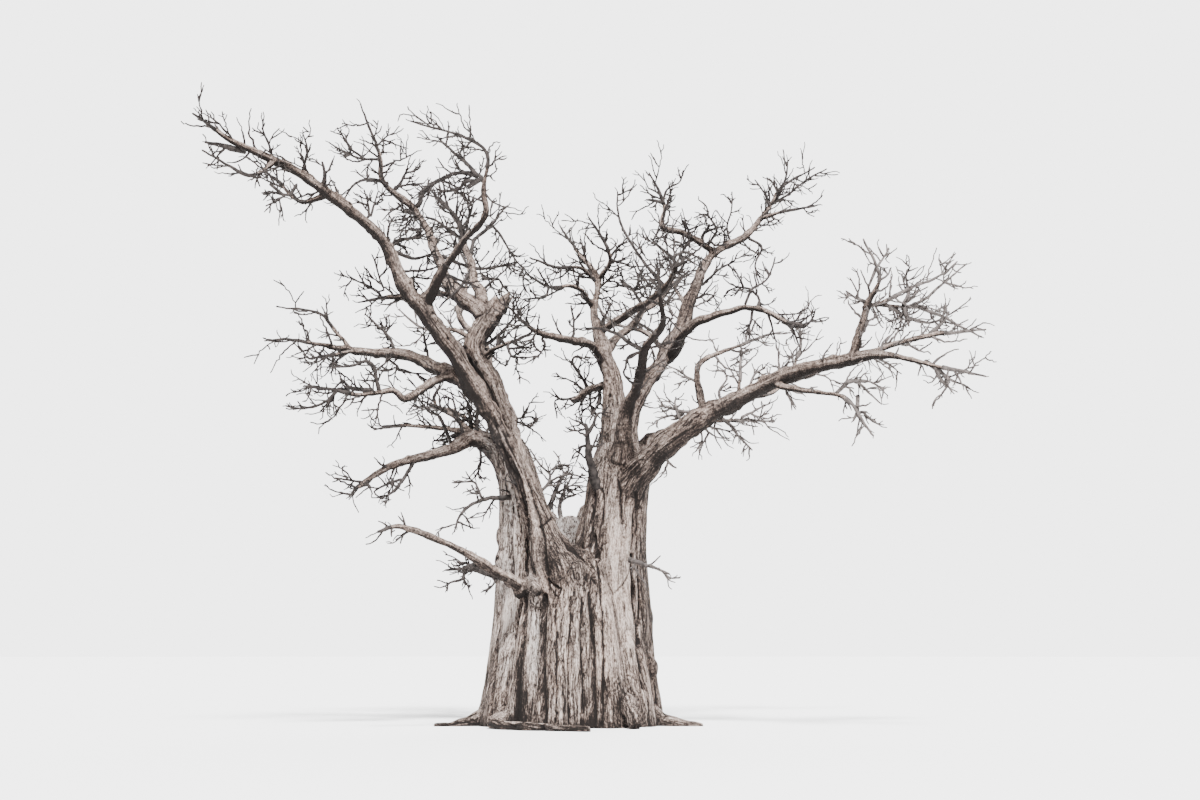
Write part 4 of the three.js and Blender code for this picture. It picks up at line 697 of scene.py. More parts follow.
# Where the real limbs are slimmer or thicker than the solids, or stand a little to one side: by span along
# the route
reshaped = {
    "long_left": {"spans": (0, 2, 3, 4, 5, 6, 8, 11), "girth": (0.5, 0.5, 0.78, 1.0, 0.96, 0.86, 0.92, 1),
                  "across": (0, 0, -0.12, 0, 0, 0, 0, 0)},
    "broken_leader": {"spans": (0, 2, 3, 4, 5, 6), "girth": (1, 0.95, 0.88, 0.95, 1.08, 1.05),
                      "across": (0, 0, 0, -0.04, -0.05, 0)},
    "low_left": {"spans": (0, 1, 2, 3, 5), "girth": (0.6, 0.66, 0.82, 0.9, 1)},
    "column_shoot": {"spans": (0, 2), "girth": (1.2, 1.2)},
    "stubby_arm": {"spans": (0, 1, 2), "girth": (1.1, 1.05, 2.9)},
    "crossing": {"spans": (0, 1, 3, 6), "girth": (0.85, 0.8, 0.85, 1)},
    "right_post": {"spans": (0, 2, 3, 4), "girth": (1.1, 1.1, 1, 1), "across": (0.08, 0.1, 0.05, 0)},
    "left_centre_arm": {"spans": (0, 1, 2, 3), "girth": (1.0, 1.0, 1.2, 1)},
    "back_right": {"spans": (0, 2, 3, 4, 6), "girth": (1, 0.95, 0.75, 0.55, 0.6),
                   "across": (0, 0, -0.2, -0.25, -0.25)},
}
for name, change in reshaped.items():
    line = limbLines[name]
    line["girth"] *= np.interp(line["span"], change["spans"], change["girth"])
    if "across" in change:
        line["place"][:, 0] += np.interp(line["span"], change["spans"], change["across"])

# A strand of wood that runs down the front of the trunk from the left stem
strandLine = limbLine([
    (-1.67, -1.12, 7.42, 0.17), (-1.4, -1.2, 6.88, 0.12), (-1.23, -1.27, 6.4, 0.09),
    (-1.02, -1.3, 5.73, 0.09), (-0.86, -1.34, 5.08, 0.13), (-0.8, -1.26, 4.3, 0.17),
    (-0.61, -1.32, 3.65, 0.15), (-0.42, -1.55, 3.17, 0.08),
], seed=61, crook=0.2)


# Where on each step of a chain the place is nearest, as a share of the step, and how far off, squared
def fromSteps(places, starts, steps):
    offset = places[:, None] - starts[None]
    share = np.clip((offset * steps).sum(2) / np.maximum((steps**2).sum(1), 1e-9), 0, 1)
    return share, ((offset - share[..., None] * steps)**2).sum(2)


mostAtOnce = 1500000  # distances that are worked out together


# For each place, the nearest two limbs, counted from their skins
def nearestLimbs(places, lines, reach=0.6):
    starts = np.cumsum([0] + [len(line["place"]) for line in lines])
    count = len(places)
    first = {"gap": np.full(count, 9.0), "index": np.zeros(count, int), "share": np.zeros(count)}
    second = {key: values.copy() for key, values in first.items()}
    for number, line in enumerate(lines):
        margin = reach + line["girth"].max()
        inside = (places > line["place"].min(0) - margin) & (places < line["place"].max(0) + margin)
        near = np.flatnonzero(inside.all(1))
        if not len(near):
            continue
        feet = line["place"][:-1].astype(np.float32)
        steps = np.diff(line["place"], axis=0).astype(np.float32)
        for part in np.array_split(near, len(near) * len(feet) // mostAtOnce + 1):
            share, away = fromSteps(places[part].astype(np.float32), feet, steps)
            index = away.argmin(1)
            rows = np.arange(len(part))
            share = share[rows, index]
            girth = line["girth"][index] * (1 - share) + line["girth"][index + 1] * share
            gap = np.sqrt(away[rows, index]) - girth
            closer = gap < first["gap"][part]
            runner = ~closer & (gap < second["gap"][part])
            for hit, rank in ((closer, first), (runner, second)):
                if rank is first:
                    for key in first:
                        second[key][part[hit]] = first[key][part[hit]]
                rank["gap"][part[hit]] = gap[hit]
                rank["index"][part[hit]] = index[hit] + starts[number]
                rank["share"][part[hit]] = share[hit]
    return first, second


# Where a place lies on its limb: a straightened grain, the bearing round it and the limb's facts there
def limbPlaces(places, hit, stack):
    low = hit["index"]
    high = np.minimum(low + 1, len(stack["girth"]) - 1)
    share = hit["share"][:, None]
    facts = {key: stack[key][low] for key in ("anchor", "flutes", "old", "turnStart")}
    for key in ("place", "girth", "along", "outward", "sideways"):
        values = stack[key]
        mix = share if values.ndim > 1 else share[:, 0]
        facts[key] = values[low] * (1 - mix) + values[high] * mix
    offset = places - facts["place"]
    across = (offset * facts["outward"]).sum(1)
    beside = (offset * facts["sideways"]).sum(1)
    facts["bearing"] = np.arctan2(across, -beside)
    facts["grain"] = np.stack([across, beside, facts["along"]], 1) + facts["anchor"]
    return facts


relief = {
    "oldRidge": 0.034, "oldStrand": 0.014, "oldFine": 0.012, "youngFine": 0.006,
    "flute": 0.11, "lobe": 0.05, "lump": 0.16, "knob": 0.3, "knobFrom": 0.15,
    "wanderGrain": (1.1, 1.1, 0.35), "ridgeGrain": (3.4, 3.4, 0.42), "strandGrain": (8.5, 8.5, 0.9),
    "fineGrain": (15, 15, 4), "lumpGrain": 2.3, "smallLumpGrain": 4.9, "knobGrain": 6.5,
    "fillet": 0.7, "mostFillet": 0.5, "filling": 0.25,
    "valleyWidth": 0.05, "valleyDepth": 0.02, "valleyShade": 0.3,
}


def oldness(facts):
    return np.maximum(facts["old"], smoothStep(facts["girth"], 0.2, 0.48))


# Height of the bark over the limb's plain skin, and the painted shade in its flute hollows
def barkHeight(places, facts):
    grain, girth = facts["grain"], facts["girth"]
    old = oldness(facts)
    wander = latticeNoise(grain * relief["wanderGrain"], 3)
    ridge = latticeNoise(grain * relief["ridgeGrain"] + wander[:, None] * 0.8, 5)
    strand = latticeNoise(grain * relief["strandGrain"] + wander[:, None], 7)
    fine = latticeNoise(grain * relief["fineGrain"], 9)
    turned = 0.5 * (facts["flutes"] * facts["bearing"] + 0.35 * facts["along"])
    fluted = (facts["flutes"] > 0) * (np.abs(np.cos(turned + 0.35 * wander))**0.55 - 0.8)
    lobed = np.cos(2 * facts["bearing"] + facts["turnStart"] + facts["along"] * 1.3)
    lump = latticeNoise(places * relief["lumpGrain"], 11)
    lump += 0.7 * latticeNoise(places * relief["smallLumpGrain"], 13)
    knob = np.maximum(latticeNoise(places * relief["knobGrain"], 15) - relief["knobFrom"], 0)
    height = old * (relief["oldRidge"] * ridge + relief["oldStrand"] * strand + relief["oldFine"] * fine)
    height += relief["flute"] * girth * fluted
    young = (1 - old) * np.minimum(girth, 0.2)
    height += young * (relief["lobe"] * lobed + relief["lump"] * lump + relief["knob"] * knob)
    height += (1 - old) * relief["youngFine"] * fine * smoothStep(girth, 0.03, 0.12)
    hollowShade = 0.5 * smoothStep(fluted, -0.3, -0.75)
    return height, hollowShade


# Creases and ridges that the front shows: half width, height, how much painted shade a crease gets, and the
# way [across, up]
frontMarks = [
    (0.05, -0.11, 1, [(1.74, 4.5), (1.7, 3.36), (1.8, 2.37), (1.86, 1.71), (1.93, 1)]),
    (0.035, -0.07, 1, [(1.86, 3.9), (1.9, 3.2), (1.84, 2.6)]),
    (0.045, -0.09, 1, [(0.66, 4.95), (0.81, 3.91), (0.88, 2.81), (0.89, 1.71), (0.86, 0.1)]),
    (0.075, -0.07, 1.6, [(-2.75, 9.82), (-2.58, 9.55), (-2.39, 9.2), (-2.18, 8.9), (-1.93, 8.47),
     (-1.77, 8.09), (-1.6, 7.6)]),
    (0.08, -0.02, 5, [(-3.2, 9.75), (-2.58, 8.75), (-1.87, 7.85)]),
    (0.045, -0.08, 1.2, [(-1.77, 7.25), (-1.5, 6.67), (-1.26, 6.32), (-1.16, 5.88), (-1.1, 5.22),
     (-1.12, 4.69), (-1.12, 4.04)]),
    (0.035, -0.06, 1.4, [(-1.75, 7.68), (-1.51, 7.2), (-1.27, 6.72), (-1.05, 6.27), (-0.89, 5.8),
     (-0.73, 5.3), (-0.62, 4.82), (-0.59, 4.3), (-0.51, 3.91)]),
    (0.035, -0.05, 1.6, [(-0.73, 5.16), (-0.6, 5.26), (-0.44, 5.42)]),
    (0.03, 0.05, 1, [(-1.72, 5.78), (-1.6, 5.74), (-1.5, 5.8), (-1.2, 5.86), (-0.98, 5.9)]),
    (0.03, 0.05, 1, [(-1.7, 5.62), (-1.5, 5.58), (-1.3, 5.46), (-1.05, 5.42)]),
    (0.04, -0.08, 1, [(-0.5, 3.78), (-0.17, 3.52), (-0.33, 3.08)]),
    (0.045, -0.08, 1, [(-0.37, 5.36), (0, 4.58), (0.5, 4.25), (0.69, 3.69)]),
    (0.07, -0.1, 1, [(-0.61, 3.36), (-0.62, 1.71), (-0.6, 0)]),
    (0.04, -0.07, 1, [(0.05, 3.3), (0.02, 2.26), (0.01, 0.1)]),
    (0.035, -0.055, 1, [(0.35, 3.3), (0.33, 2.2), (0.38, 0.4)]),
    (0.035, -0.055, 1, [(-0.28, 3), (-0.26, 1.9), (-0.3, 0.2)]),
    (0.06, -0.09, 1, [(0.56, 3.4), (0.61, 2.26), (0.66, 1.2), (0.68, 0)]),
    (0.12, -0.12, 1, [(-1.12, 3.4), (-1.2, 2.26), (-1.3, 1.27), (-1.36, 0.1)]),
    (0.045, -0.06, 1, [(-1.5, 5.9), (-1.52, 5.03), (-1.54, 3.91), (-1.45, 3.4)]),
    (0.05, -0.06, 1, [(-1.8, 3.4), (-1.85, 2.26), (-1.97, 1.1), (-2, 0.2)]),
    (0.15, 0.06, 1, [(-0.85, 3.4), (-0.87, 2.26), (-0.95, 0.3)]),
    (0.17, 0.05, 1, [(-1.6, 3.1), (-1.62, 2), (-1.7, 0.6)]),
    (0.045, -0.08, 1, [(0.69, 6.32), (0.61, 5.25), (0.55, 4.7)]),
    (0.035, -0.06, 1, [(0.86, 6.26), (0.88, 5.3)]),
    (0.05, -0.07, 1, [(1.37, 6.43), (1.36, 5.87), (1.43, 5.3)]),
    (0.05, -0.07, 1, [(1.75, 6.1), (1.72, 5.25), (1.7, 4.47)]),
    (0.06, -0.06, 1, [(-1.95, 8.05), (-1.8, 7.4), (-1.5, 6.95), (-1.22, 6.3)]),
    (0.02, -0.018, 4.8, [(1, 4.76), (0.85, 4.7), (0.79, 4.42), (0.93, 3.92), (1.16, 3.42), (1.4, 3.66),
     (1.61, 4), (1.69, 4.31), (1.61, 4.57)]),
    (0.02, -0.02, 2.6, [(0.76, 4.6), (0.7, 4.42), (0.78, 4.25), (0.9, 4.38), (0.88, 4.6), (0.78, 4.66)]),
    (0.02, -0.02, 1, [(0.98, 2.25), (1.08, 2.15), (1.06, 1.95), (0.98, 1.92)]),
]

# Wrinkles that run in rings: under the fork, round the scar over a root and at the swollen foot of a stem
frontRings = [
    {"at": (0.24, 3.86), "tall": 1.25, "from": 0, "to": 0.46, "spacing": 0.085, "height": 0.009},
    {"at": (1.42, 0.62), "tall": 1.25, "from": 0.3, "to": 0.85, "spacing": 0.12, "height": 0.014},
    {"at": (-0.88, 3.42), "tall": 1.2, "from": 0, "to": 0.34, "spacing": 0.1, "height": 0.02},
]

# Lighter and darker places on the front, and deeper in: place and half size [across, up], change of tone,
# share of grey and how smooth. The changes of tone are partly the bark's own and partly painted light and
# shade.
frontTonesAndShade = [
    ((-1.62, 4.4), (0.26, 2.4), 0.2, 0.9, 0), ((-2.2, 7.35), (0.5, 0.45), 0.14, 1, 0),
    # The first patch here darkens the foot at the ground: partly the roots' own dark brown, partly painted
    # shade where the foot meets the floor
    ((-0.4, 0), (3.4, 0.26), -0.46, 0, 0), ((-1.62, 6.3), (0.3, 0.9), 0.14, 0.3, 0),
    ((-0.55, 6), (0.3, 0.8), -0.12, 0, 0), ((-1.62, 2.1), (0.28, 1.4), 0.1, 0.6, 0),
    ((-0.9, 2.1), (0.17, 1.7), 0.17, 1, 0), ((-1.28, 0.9), (0.17, 1.5), -0.36, 0.4, 0),
    ((-2.1, 0.7), (0.3, 0.9), -0.14, 0, 0), ((-0.2, 4.75), (0.62, 0.95), -0.22, 0, 0),
    ((0.68, 0.4), (0.08, 0.7), -0.3, 0, 0), ((1.3, 4), (0.45, 2), 0.16, 0, 0.45),
    ((1.3, 2.1), (0.4, 0.9), 0.1, 0, 0.35), ((1.2, 0.8), (0.5, 0.55), -0.2, 0, 0),
    # The first patch here is painted shade down the right edge of the trunk; the second darkens the bark
    # under the great right bough
    ((2.1, 3), (0.36, 3.2), -0.2, 0, 0), ((1.75, 6.35), (0.35, 0.5), -0.3, 0, 0),
    ((0.72, 5.75), (0.24, 0.95), -0.26, 0, 0), ((-1, 3.4), (0.25, 0.3), -0.25, 0, 0),
    ((-0.42, 4.3), (0.18, 0.5), -0.26, 0, 0), ((-1.6, 7.1), (0.25, 0.5), -0.06, 0.2, 0),
    ((3.45, 9), (0.35, 0.8), -0.18, 0, 0), ((0.1, 3.85), (0.5, 0.4), -0.18, 0, 0),
    ((0.3, 4.85), (0.22, 0.5), -0.22, 0, 0), ((-1, 0.6), (0.4, 0.5), -0.2, 0, 0),
    ((-1.5, 2.6), (0.6, 0.7), 0.12, 0, 0), ((0, 2.2), (0.4, 0.8), 0.1, 0, 0),
    ((-1.27, 4.85), (0.2, 0.5), 0.12, 0, 0),
]
deepTonesAndLight = [
    # The first patch here is painted light: it lightens the back stem's stub in the fork, which the lamps
    # leave in shade
    ((-0.05, 5.2), (0.6, 0.7), 0.3, 1, 0), ((3.25, 11.7), (0.8, 1.5), -0.24, 0, 0),
    # Painted light: this patch lightens the stubby arm, which faces down into shade
    ((0.35, 9.05), (0.55, 0.32), 0.34, 0, 0),
]
# How far back the front's marks and tones reach, and how squarely a face looks forwards where they start
# and where they are full
frontDepth = 0.3
frontFacing = (0.12, 0.5)


def frontRingHeight(places, front):
    height = np.zeros(len(places))
    wander = latticeNoise(places * (5, 5, 5), 23)
    for ring in frontRings:
        offset = (places[:, [0, 2]] - ring["at"]) / (1, ring["tall"])
        away = np.linalg.norm(offset, axis=1) + 0.12 * wander
        inside = smoothStep(away, ring["from"] - 0.05, ring["from"] + 0.05)
        inside *= smoothStep(-away, -ring["to"], -0.6 * ring["to"])
        height += ring["height"] * np.cos(away * 2 * math.pi / ring["spacing"]) * inside * front
    return height


def toneAndPaintedLightShares(places, front):
    tone, cool, calm = np.zeros((3, len(places)))
    shallow = places[:, 1] < frontDepth
    wander = 0.1 * np.stack([
        latticeNoise(places * (2.5, 2.5, 1.2), 25), latticeNoise(places * (1.5, 1.5, 1.2), 27),
    ], 1)
    for patches, inDepth in ((frontTonesAndShade, shallow), (deepTonesAndLight, ~shallow)):
        for at, size, change, grey, smoothed in patches:
            offset = (places[:, [0, 2]] + wander - at) / size
            share = np.exp(-(np.abs(offset)**3).sum(1)) * front * inDepth
            tone += change * share
            cool = np.maximum(cool, grey * share)
            calm = np.maximum(calm, smoothed * share)
    return tone, cool, calm


def frontMarkHeight(places, facing):
    height, hollowShade = np.zeros((2, len(places)))
    front = smoothStep(-facing[:, 1], *frontFacing) * (places[:, 1] < frontDepth)
    wobble = 0.035 * latticeNoise(places * (3, 3, 2.2), 21)
    for width, rise, dark, way in frontMarks:
        path = np.array(way)
        low, high = path.min(0) - 3 * width - 0.05, path.max(0) + 3 * width + 0.05
        flat = places[:, [0, 2]]
        near = np.flatnonzero(((flat > low) & (flat < high)).all(1) & (front > 0))
        if not len(near):
            continue
        away = fromSteps(flat[near] + wobble[near, None], path[:-1], np.diff(path, axis=0))[1]
        away = np.sqrt(away).min(1)
        shape = np.exp(-(away / width)**2) * front[near]
        height[near] += rise * shape
        if rise < 0:
            hollowShade[near] += shape * min(1, -10 * rise) * dark
    return height + frontRingHeight(places, front), hollowShade


# Old scars: rings of wood that has grown round a lost shoot, with painted shade in the dimple
scarPlan = {
    "perMetre": {"columns": 0.6, "stems": 0.4, "boughs": 2.2}, "size": (0.3, 0.6), "least": 0.02,
    "most": 0.2, "strength": (0.3, 0.75), "ring": 0.75, "dimple": 0.8, "dimpleSize": 0.38, "shade": 1.3,
}


def makeScars(lines, draws, many):
    scars = []
    for line in lines:
        length = line["along"][-1]
        for _ in range(int(length * many + draws.random())):
            index = draws.integers(0, len(line["place"]))
            girth = line["girth"][index]
            bearing = draws.uniform(0, 2 * math.pi)
            away = math.cos(bearing) * line["outward"][index] + math.sin(bearing) * line["sideways"][index]
            size = min(scarPlan["most"], girth * draws.uniform(*scarPlan["size"]) + scarPlan["least"])
            scars.append((line["place"][index] + away * girth, size, draws.uniform(*scarPlan["strength"])))
    return scars


def scarHeight(places, scars):
    height, hollowShade = np.zeros((2, len(places)))
    for centre, size, strength in scars:
        near = np.flatnonzero((np.abs(places - centre) < 2.2 * size).all(1))
        if not len(near):
            continue
        away = np.linalg.norm(places[near] - centre, axis=1) / size
        ring = np.exp(-away**2)
        dimple = np.exp(-(away / scarPlan["dimpleSize"])**2)
        height[near] += strength * size * (scarPlan["ring"] * ring - scarPlan["dimple"] * dimple)
        hollowShade[near] += dimple * strength * scarPlan["shade"]
    return height, hollowShade


def deselectAll():
    if bpy.context.object and bpy.context.object.mode != "OBJECT":
        bpy.ops.object.mode_set(mode="OBJECT")
    bpy.ops.object.select_all(action="DESELECT")


def select(obj):
    deselectAll()
    obj.select_set(True)
    bpy.context.view_layer.objects.active = obj


# A round limb of its own girth: a path curve with a bevel, made a mesh
def limbTube(name, places, girths, roundness=5):
    deselectAll()
    bpy.ops.curve.primitive_nurbs_path_add()
    tube = bpy.context.object
    tube.name = name
    curve = tube.data
    spline = curve.splines[0]
    spline.type = "POLY"
    if len(places) > len(spline.points):
        spline.points.add(len(places) - len(spline.points))
    kept = np.linspace(0, len(places) - 1, len(spline.points)).round().astype(int)
    for point, index in zip(spline.points, kept):
        point.co = (*places[index], 1)
        point.radius = girths[index]
    curve.bevel_depth = 1.0
    curve.bevel_resolution = roundness
    curve.use_fill_caps = True
    bpy.ops.object.convert(target="MESH")
    return bpy.context.object


def ball(place, size, stretch=(1, 1, 1)):
    deselectAll()
    bpy.ops.mesh.primitive_ico_sphere_add(subdivisions=3, radius=size, location=place, scale=stretch)
    bpy.ops.object.transform_apply(location=True, rotation=True, scale=True)
    return bpy.context.object


def joinAll(parts, name):
    deselectAll()
    for part in parts:
        part.select_set(True)
    bpy.context.view_layer.objects.active = parts[0]
    if len(parts) > 1:
        bpy.ops.object.join()
    whole = bpy.context.object
    whole.name = name
    whole.data.name = name
    return whole


def applyModifier(whole, kind, **settings):
    select(whole)
    bpy.ops.object.modifier_add(type=kind)
    modifier = whole.modifiers[-1]
    for key, value in settings.items():
        setattr(modifier, key, value)
    bpy.ops.object.modifier_apply(modifier=modifier.name)


def fuseWood(whole, voxel, smoothing):
    applyModifier(whole, "REMESH", mode="VOXEL", voxel_size=voxel)
    applyModifier(whole, "SMOOTH", factor=0.5, iterations=smoothing)


mostTriangles = 196000


# Merges the flattest faces of a piece that has too many
def thinOut(whole):
    triangles = sum(len(face.vertices) - 2 for face in whole.data.polygons)
    if triangles > mostTriangles:
        applyModifier(whole, "DECIMATE", ratio=mostTriangles / triangles)


def meshArrays(mesh):
    places = np.empty(len(mesh.vertices) * 3)
    mesh.vertices.foreach_get("co", places)
    facing = np.empty(len(mesh.vertices) * 3)
    mesh.vertices.foreach_get("normal", facing)
    return places.reshape(-1, 3), facing.reshape(-1, 3)


def evened(values, mesh, rounds):
    edges = np.empty(len(mesh.edges) * 2, int)
    mesh.edges.foreach_get("vertices", edges)
    one, other = edges.reshape(-1, 2).T
    count = np.bincount(one, minlength=len(values)) + np.bincount(other, minlength=len(values))
    for _ in range(rounds):
        total = np.stack([
            np.bincount(one, values[other, k], len(values)) + np.bincount(other, values[one, k], len(values))
            for k in range(values.shape[1])
        ], 1)
        values = 0.5 * values + 0.5 * total / np.maximum(count, 1)[:, None]
    return values


def storeAttribute(mesh, name, kind, values):
    attribute = mesh.attributes.new(name, kind, "POINT")
    field = "vector" if kind == "FLOAT_VECTOR" else "value"
    attribute.data.foreach_set(field, np.ascontiguousarray(values, np.float32).ravel())


allLines = [*columnLines.values(), *footLines, *rootLines, strandLine, *[
    cutLine(line, 0, line["along"][max(3, int((line["girth"] > 0.04).sum()) - 1)])
    for line in limbLines.values() if (line["girth"] > 0.04).sum() > 4
]]
stack = {
    key: np.concatenate([line[key] for line in allLines])
    for key in ("place", "girth", "along", "outward", "sideways", "anchor", "flutes", "old", "turnStart")
}

shading = {
    "skyward": (0.05, -0.3, 0.95), "hollowDepth": 0.011, "hollow": 0.2, "crease": 0.36, "shadow": 0.68,
    "shadowFrom": -0.38, "shadowTo": 0.5, "oldLift": 0.74, "young": 0.12,
}


# Fills the creases where limbs meet, raises the bark, paints shade into its colour, and keeps what the finish
# reads
def raiseBark(whole, scars, marked=False, shade=1.0):
    mesh = whole.data
    places, facing = meshArrays(mesh)
    facing = unit(evened(facing, mesh, 3))
    first, second = nearestLimbs(places, allLines)
    own, other = limbPlaces(places, first, stack), limbPlaces(places, second, stack)
    beside = np.clip(second["gap"] - first["gap"], 0, 9)
    met = second["gap"] < 5
    fillet = np.minimum(relief["mostFillet"], relief["fillet"] * np.minimum(own["girth"], other["girth"]))
    near = np.where(met, np.clip(1 - beside / fillet, 0, 1), 0)
    fill = near**2 * fillet * relief["filling"]
    height, hollowShade = barkHeight(places, own)
    otherHeight, otherHollowShade = barkHeight(places, other)
    share = 0.5 * np.where(met, np.clip(1 - beside / (0.5 * fillet), 0, 1), 0)
    height = height * (1 - share) + otherHeight * share
    hollowShade = hollowShade * (1 - share) + otherHollowShade * share
    # Painted shade in the valley where two limbs meet
    valley = np.where(met, np.exp(-(beside / relief["valleyWidth"])**2), 0)
    height -= valley * np.minimum(own["old"], other["old"]) * relief["valleyDepth"]
    hollowShade += valley * relief["valleyShade"]
    scar, scarShade = scarHeight(places, scars)
    height += scar
    hollowShade += scarShade
    tone = cool = calm = np.zeros(len(places))
    if marked:
        front = smoothStep(-facing[:, 1], *frontFacing)
        mark, markShade = frontMarkHeight(places, facing)
        height += mark
        hollowShade += markShade
        tone, cool, calm = toneAndPaintedLightShares(places, front)
    moved = places + facing * (fill + height)[:, None]
    mesh.vertices.foreach_set("co", moved.ravel())
    mesh.update()
    # Painted shade: hollows and creases darker and ridges a little lighter, and faces turned away from the
    # sky darker, less so on old wood. shade scales this painted shadow together with the darker tone of young
    # bark.
    hollow = ((evened(moved, mesh, 4) - moved) * facing).sum(1) / shading["hollowDepth"]
    old = oldness(own)
    lit = facing.dot(shading["skyward"])
    shadow = smoothStep(-lit, shading["shadowFrom"], shading["shadowTo"]) * (1 - shading["oldLift"] * old)
    tone = tone - shading["hollow"] * np.clip(hollow, -0.7, 1.3) - shading["crease"] * np.clip(hollowShade, 0, 1.6)
    tone -= shade * (shading["shadow"] * shadow + shading["young"] * (1 - old))
    storeAttribute(mesh, "grain", "FLOAT_VECTOR", own["grain"])
    for key, values in {"tone": tone, "cool": cool, "calm": calm, "young": 1 - old}.items():
        storeAttribute(mesh, key, "FLOAT", values)
    select(whole)
    bpy.ops.object.shade_smooth()


def tapered(line, start=None, end=None, away=0.5, least=0.9):
    along, girth = line["along"], line["girth"].copy()
    if start is not None:
        girth *= least + (1 - least) * smoothStep(along, start, start + away)
    if end is not None:
        girth *= least + (1 - least) * smoothStep(-along, -end, -end + away)
    return girth


# A limb's places and girths with its foot carried on to the middle of the limb that it grows from
def rooted(name, places, girths):
    if limbs[name].get("stem") or not len(places):
        return places, girths
    foot, best = places[0], None
    for other, line in {**limbLines, **columnLines}.items():
        if other == name or limbs.get(other, {}).get("of") == name:
            continue
        away = np.linalg.norm(line["place"] - foot, axis=1)
        index = int(away.argmin())
        gap = away[index] - line["girth"][index]
        if line["girth"][index] > 0.8 * girths[0] and (best is None or gap < best[0]):
            best = (gap, line["place"][index], line["girth"][index])
    if best is None or np.linalg.norm(best[1] - foot) < 0.04:
        return places, girths
    heart = foot + (best[1] - foot) * min(1, 0.5 / np.linalg.norm(best[1] - foot))
    size = min(girths[0], 0.75 * best[2])
    return np.vstack([heart, places]), np.concatenate([[size], girths])


# Where one piece hands a limb over to the next, in metres, and by span where the leader has snapped
handOver = {
    "footReach": 0.65, "boughStart": -0.1, "slender": 0.045, "footOverlap": 0.75, "shortest": 0.25,
    "snappedAt": 6.88, "snappedSwell": 0.15, "snappedFrom": 6.2, "snappedTo": 6.8,
}

# Trunk, great stems and the feet of the boughs
trunkPlan = {
    "voxel": 0.034, "smoothing": 12,
    "replaces": ["trunk", "left_stem", "right_stem", "back_stem"],
    "footLengths": {"low_left": 1.2, "back_left": 1.4, "back_centre": 1.4, "back_right": 1.4},
    "footSwell": {"low_left": 0.15, "back_left": 0.2, "back_centre": 0.2, "back_right": 0.2},
    "burls": [
        ((-0.98, -1.25, 3.5), 0.33, (1, 0.9, 1.1)), ((-0.8, -1.35, 3.25), 0.22, (1, 0.9, 1)),
        ((-1.2, -1.3, 3.45), 0.2, (1, 1, 0.9)), ((-0.88, -1.5, 3.55), 0.17, (1, 1, 1)),
        ((0.28, -1.42, 3.85), 0.36, (1, 0.7, 1)),
        ((-1.86, 0.05, 5.0), 0.16, (0.7, 1, 1.6)), ((1.66, -2.12, 0.3), 0.22, (0.8, 0.8, 1.4)),
        ((-1.98, -0.2, 4.0), 0.16, (0.7, 1, 1.2)), ((2.2, -0.3, 1.5), 0.2, (0.7, 1, 1.3)),
    ],
}


def makeTrunk():
    tubes = [limbTube("column", line["place"], line["girth"]) for line in columnLines.values()]
    tubes += [limbTube("foot", line["place"], line["girth"], 3) for line in footLines + rootLines]
    for name, limb in limbs.items():
        line = limbLines[name]
        if limb.get("stem"):
            end = alongAt(line, limb["fused"]) + handOver["footReach"]
        elif name in trunkPlan["footLengths"]:
            end = trunkPlan["footLengths"][name]
        else:
            continue
        foot = cutLine(line, 0, end)
        swell = 1 + trunkPlan["footSwell"].get(name, 0) * np.exp(-(foot["along"] / (0.4 * end))**2)
        tubes.append(limbTube("bough_foot", *rooted(name, foot["place"], tapered(foot, end=end) * swell)))
    tubes.append(limbTube("strand", strandLine["place"], strandLine["girth"]))
    tubes += [ball(*burl) for burl in trunkPlan["burls"]]
    trunk = joinAll(tubes, "trunk_bark")
    fuseWood(trunk, trunkPlan["voxel"], trunkPlan["smoothing"])
    draws = np.random.default_rng(71)
    scars = makeScars([columnLines["left"], columnLines["right"]], draws, scarPlan["perMetre"]["columns"])
    stems = [limbLines["long_left"], limbLines["broken_leader"]]
    scars += makeScars(stems, draws, scarPlan["perMetre"]["stems"])
    raiseBark(trunk, scars, marked=True)
    select(trunk)
    bpy.ops.object.mode_set(mode="EDIT")
    bpy.ops.mesh.select_all(action="SELECT")
    bpy.ops.mesh.bisect(plane_co=(0, 0, 0), plane_no=(0, 0, -1), use_fill=True, clear_outer=True)
    bpy.ops.object.mode_set(mode="OBJECT")
    thinOut(trunk)
    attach(trunk, "root")
    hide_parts(*trunkPlan["replaces"])
    return trunk


# Boughs, in the groups that grow together, down to where a limb is slender
boughGroups = {
    "left_crown_boughs": {
        "voxel": 0.024, "marked": True,
        "limbs": ["long_left", "broken_leader", "high_left", "crossing", "inner_left", "upper_left_arm",
                  "middle_left_arm", "left_spur", "leader_spray", "high_left_stub", "long_left_knob",
                  "upper_left_low", "upper_left_high", "long_left_low", "long_left_end"],
    },
    "right_crown_boughs": {
        "voxel": 0.022, "marked": True,
        "knobs": [((0.12, 1.52, 8.95), 0.12, (1.1, 1, 0.9)), ((-0.62, -1.32, 10.26), 0.1, (1, 1, 1))],
        "limbs": ["centre", "left_centre_arm", "cross_arm", "pale_arm", "front_leader", "right_leader",
                  "right_arm", "stubby_arm", "right_leader_left", "right_leader_side", "centre_low",
                  "centre_left", "centre_right"],
    },
    "great_right_boughs": {
        "voxel": 0.022, "marked": True,
        "limbs": ["great_right", "upright_right", "right_post", "right_end", "hanging_right", "right_broom",
                  "low_right_spray", "great_right_upright", "right_post_broom"],
    },
    "low_left_boughs": {
        "voxel": 0.019, "shade": 0.6, "limbs": ["grey_arm", "low_left", "shoulder_spray", "thin_left_arm"],
    },
    "back_boughs": {
        "voxel": 0.026,
        "limbs": ["back_right", "back_left", "back_centre", "back_left_low", "back_left_side",
                  "back_right_side", "back_centre_side"],
    },
}

groupedLimbs = {name for group in boughGroups.values() for name in group["limbs"]}


def slenderFrom(name):
    line = limbLines[name]
    thick = np.flatnonzero(line["girth"] > handOver["slender"])
    return line["along"][thick[-1]] if len(thick) else 0.0


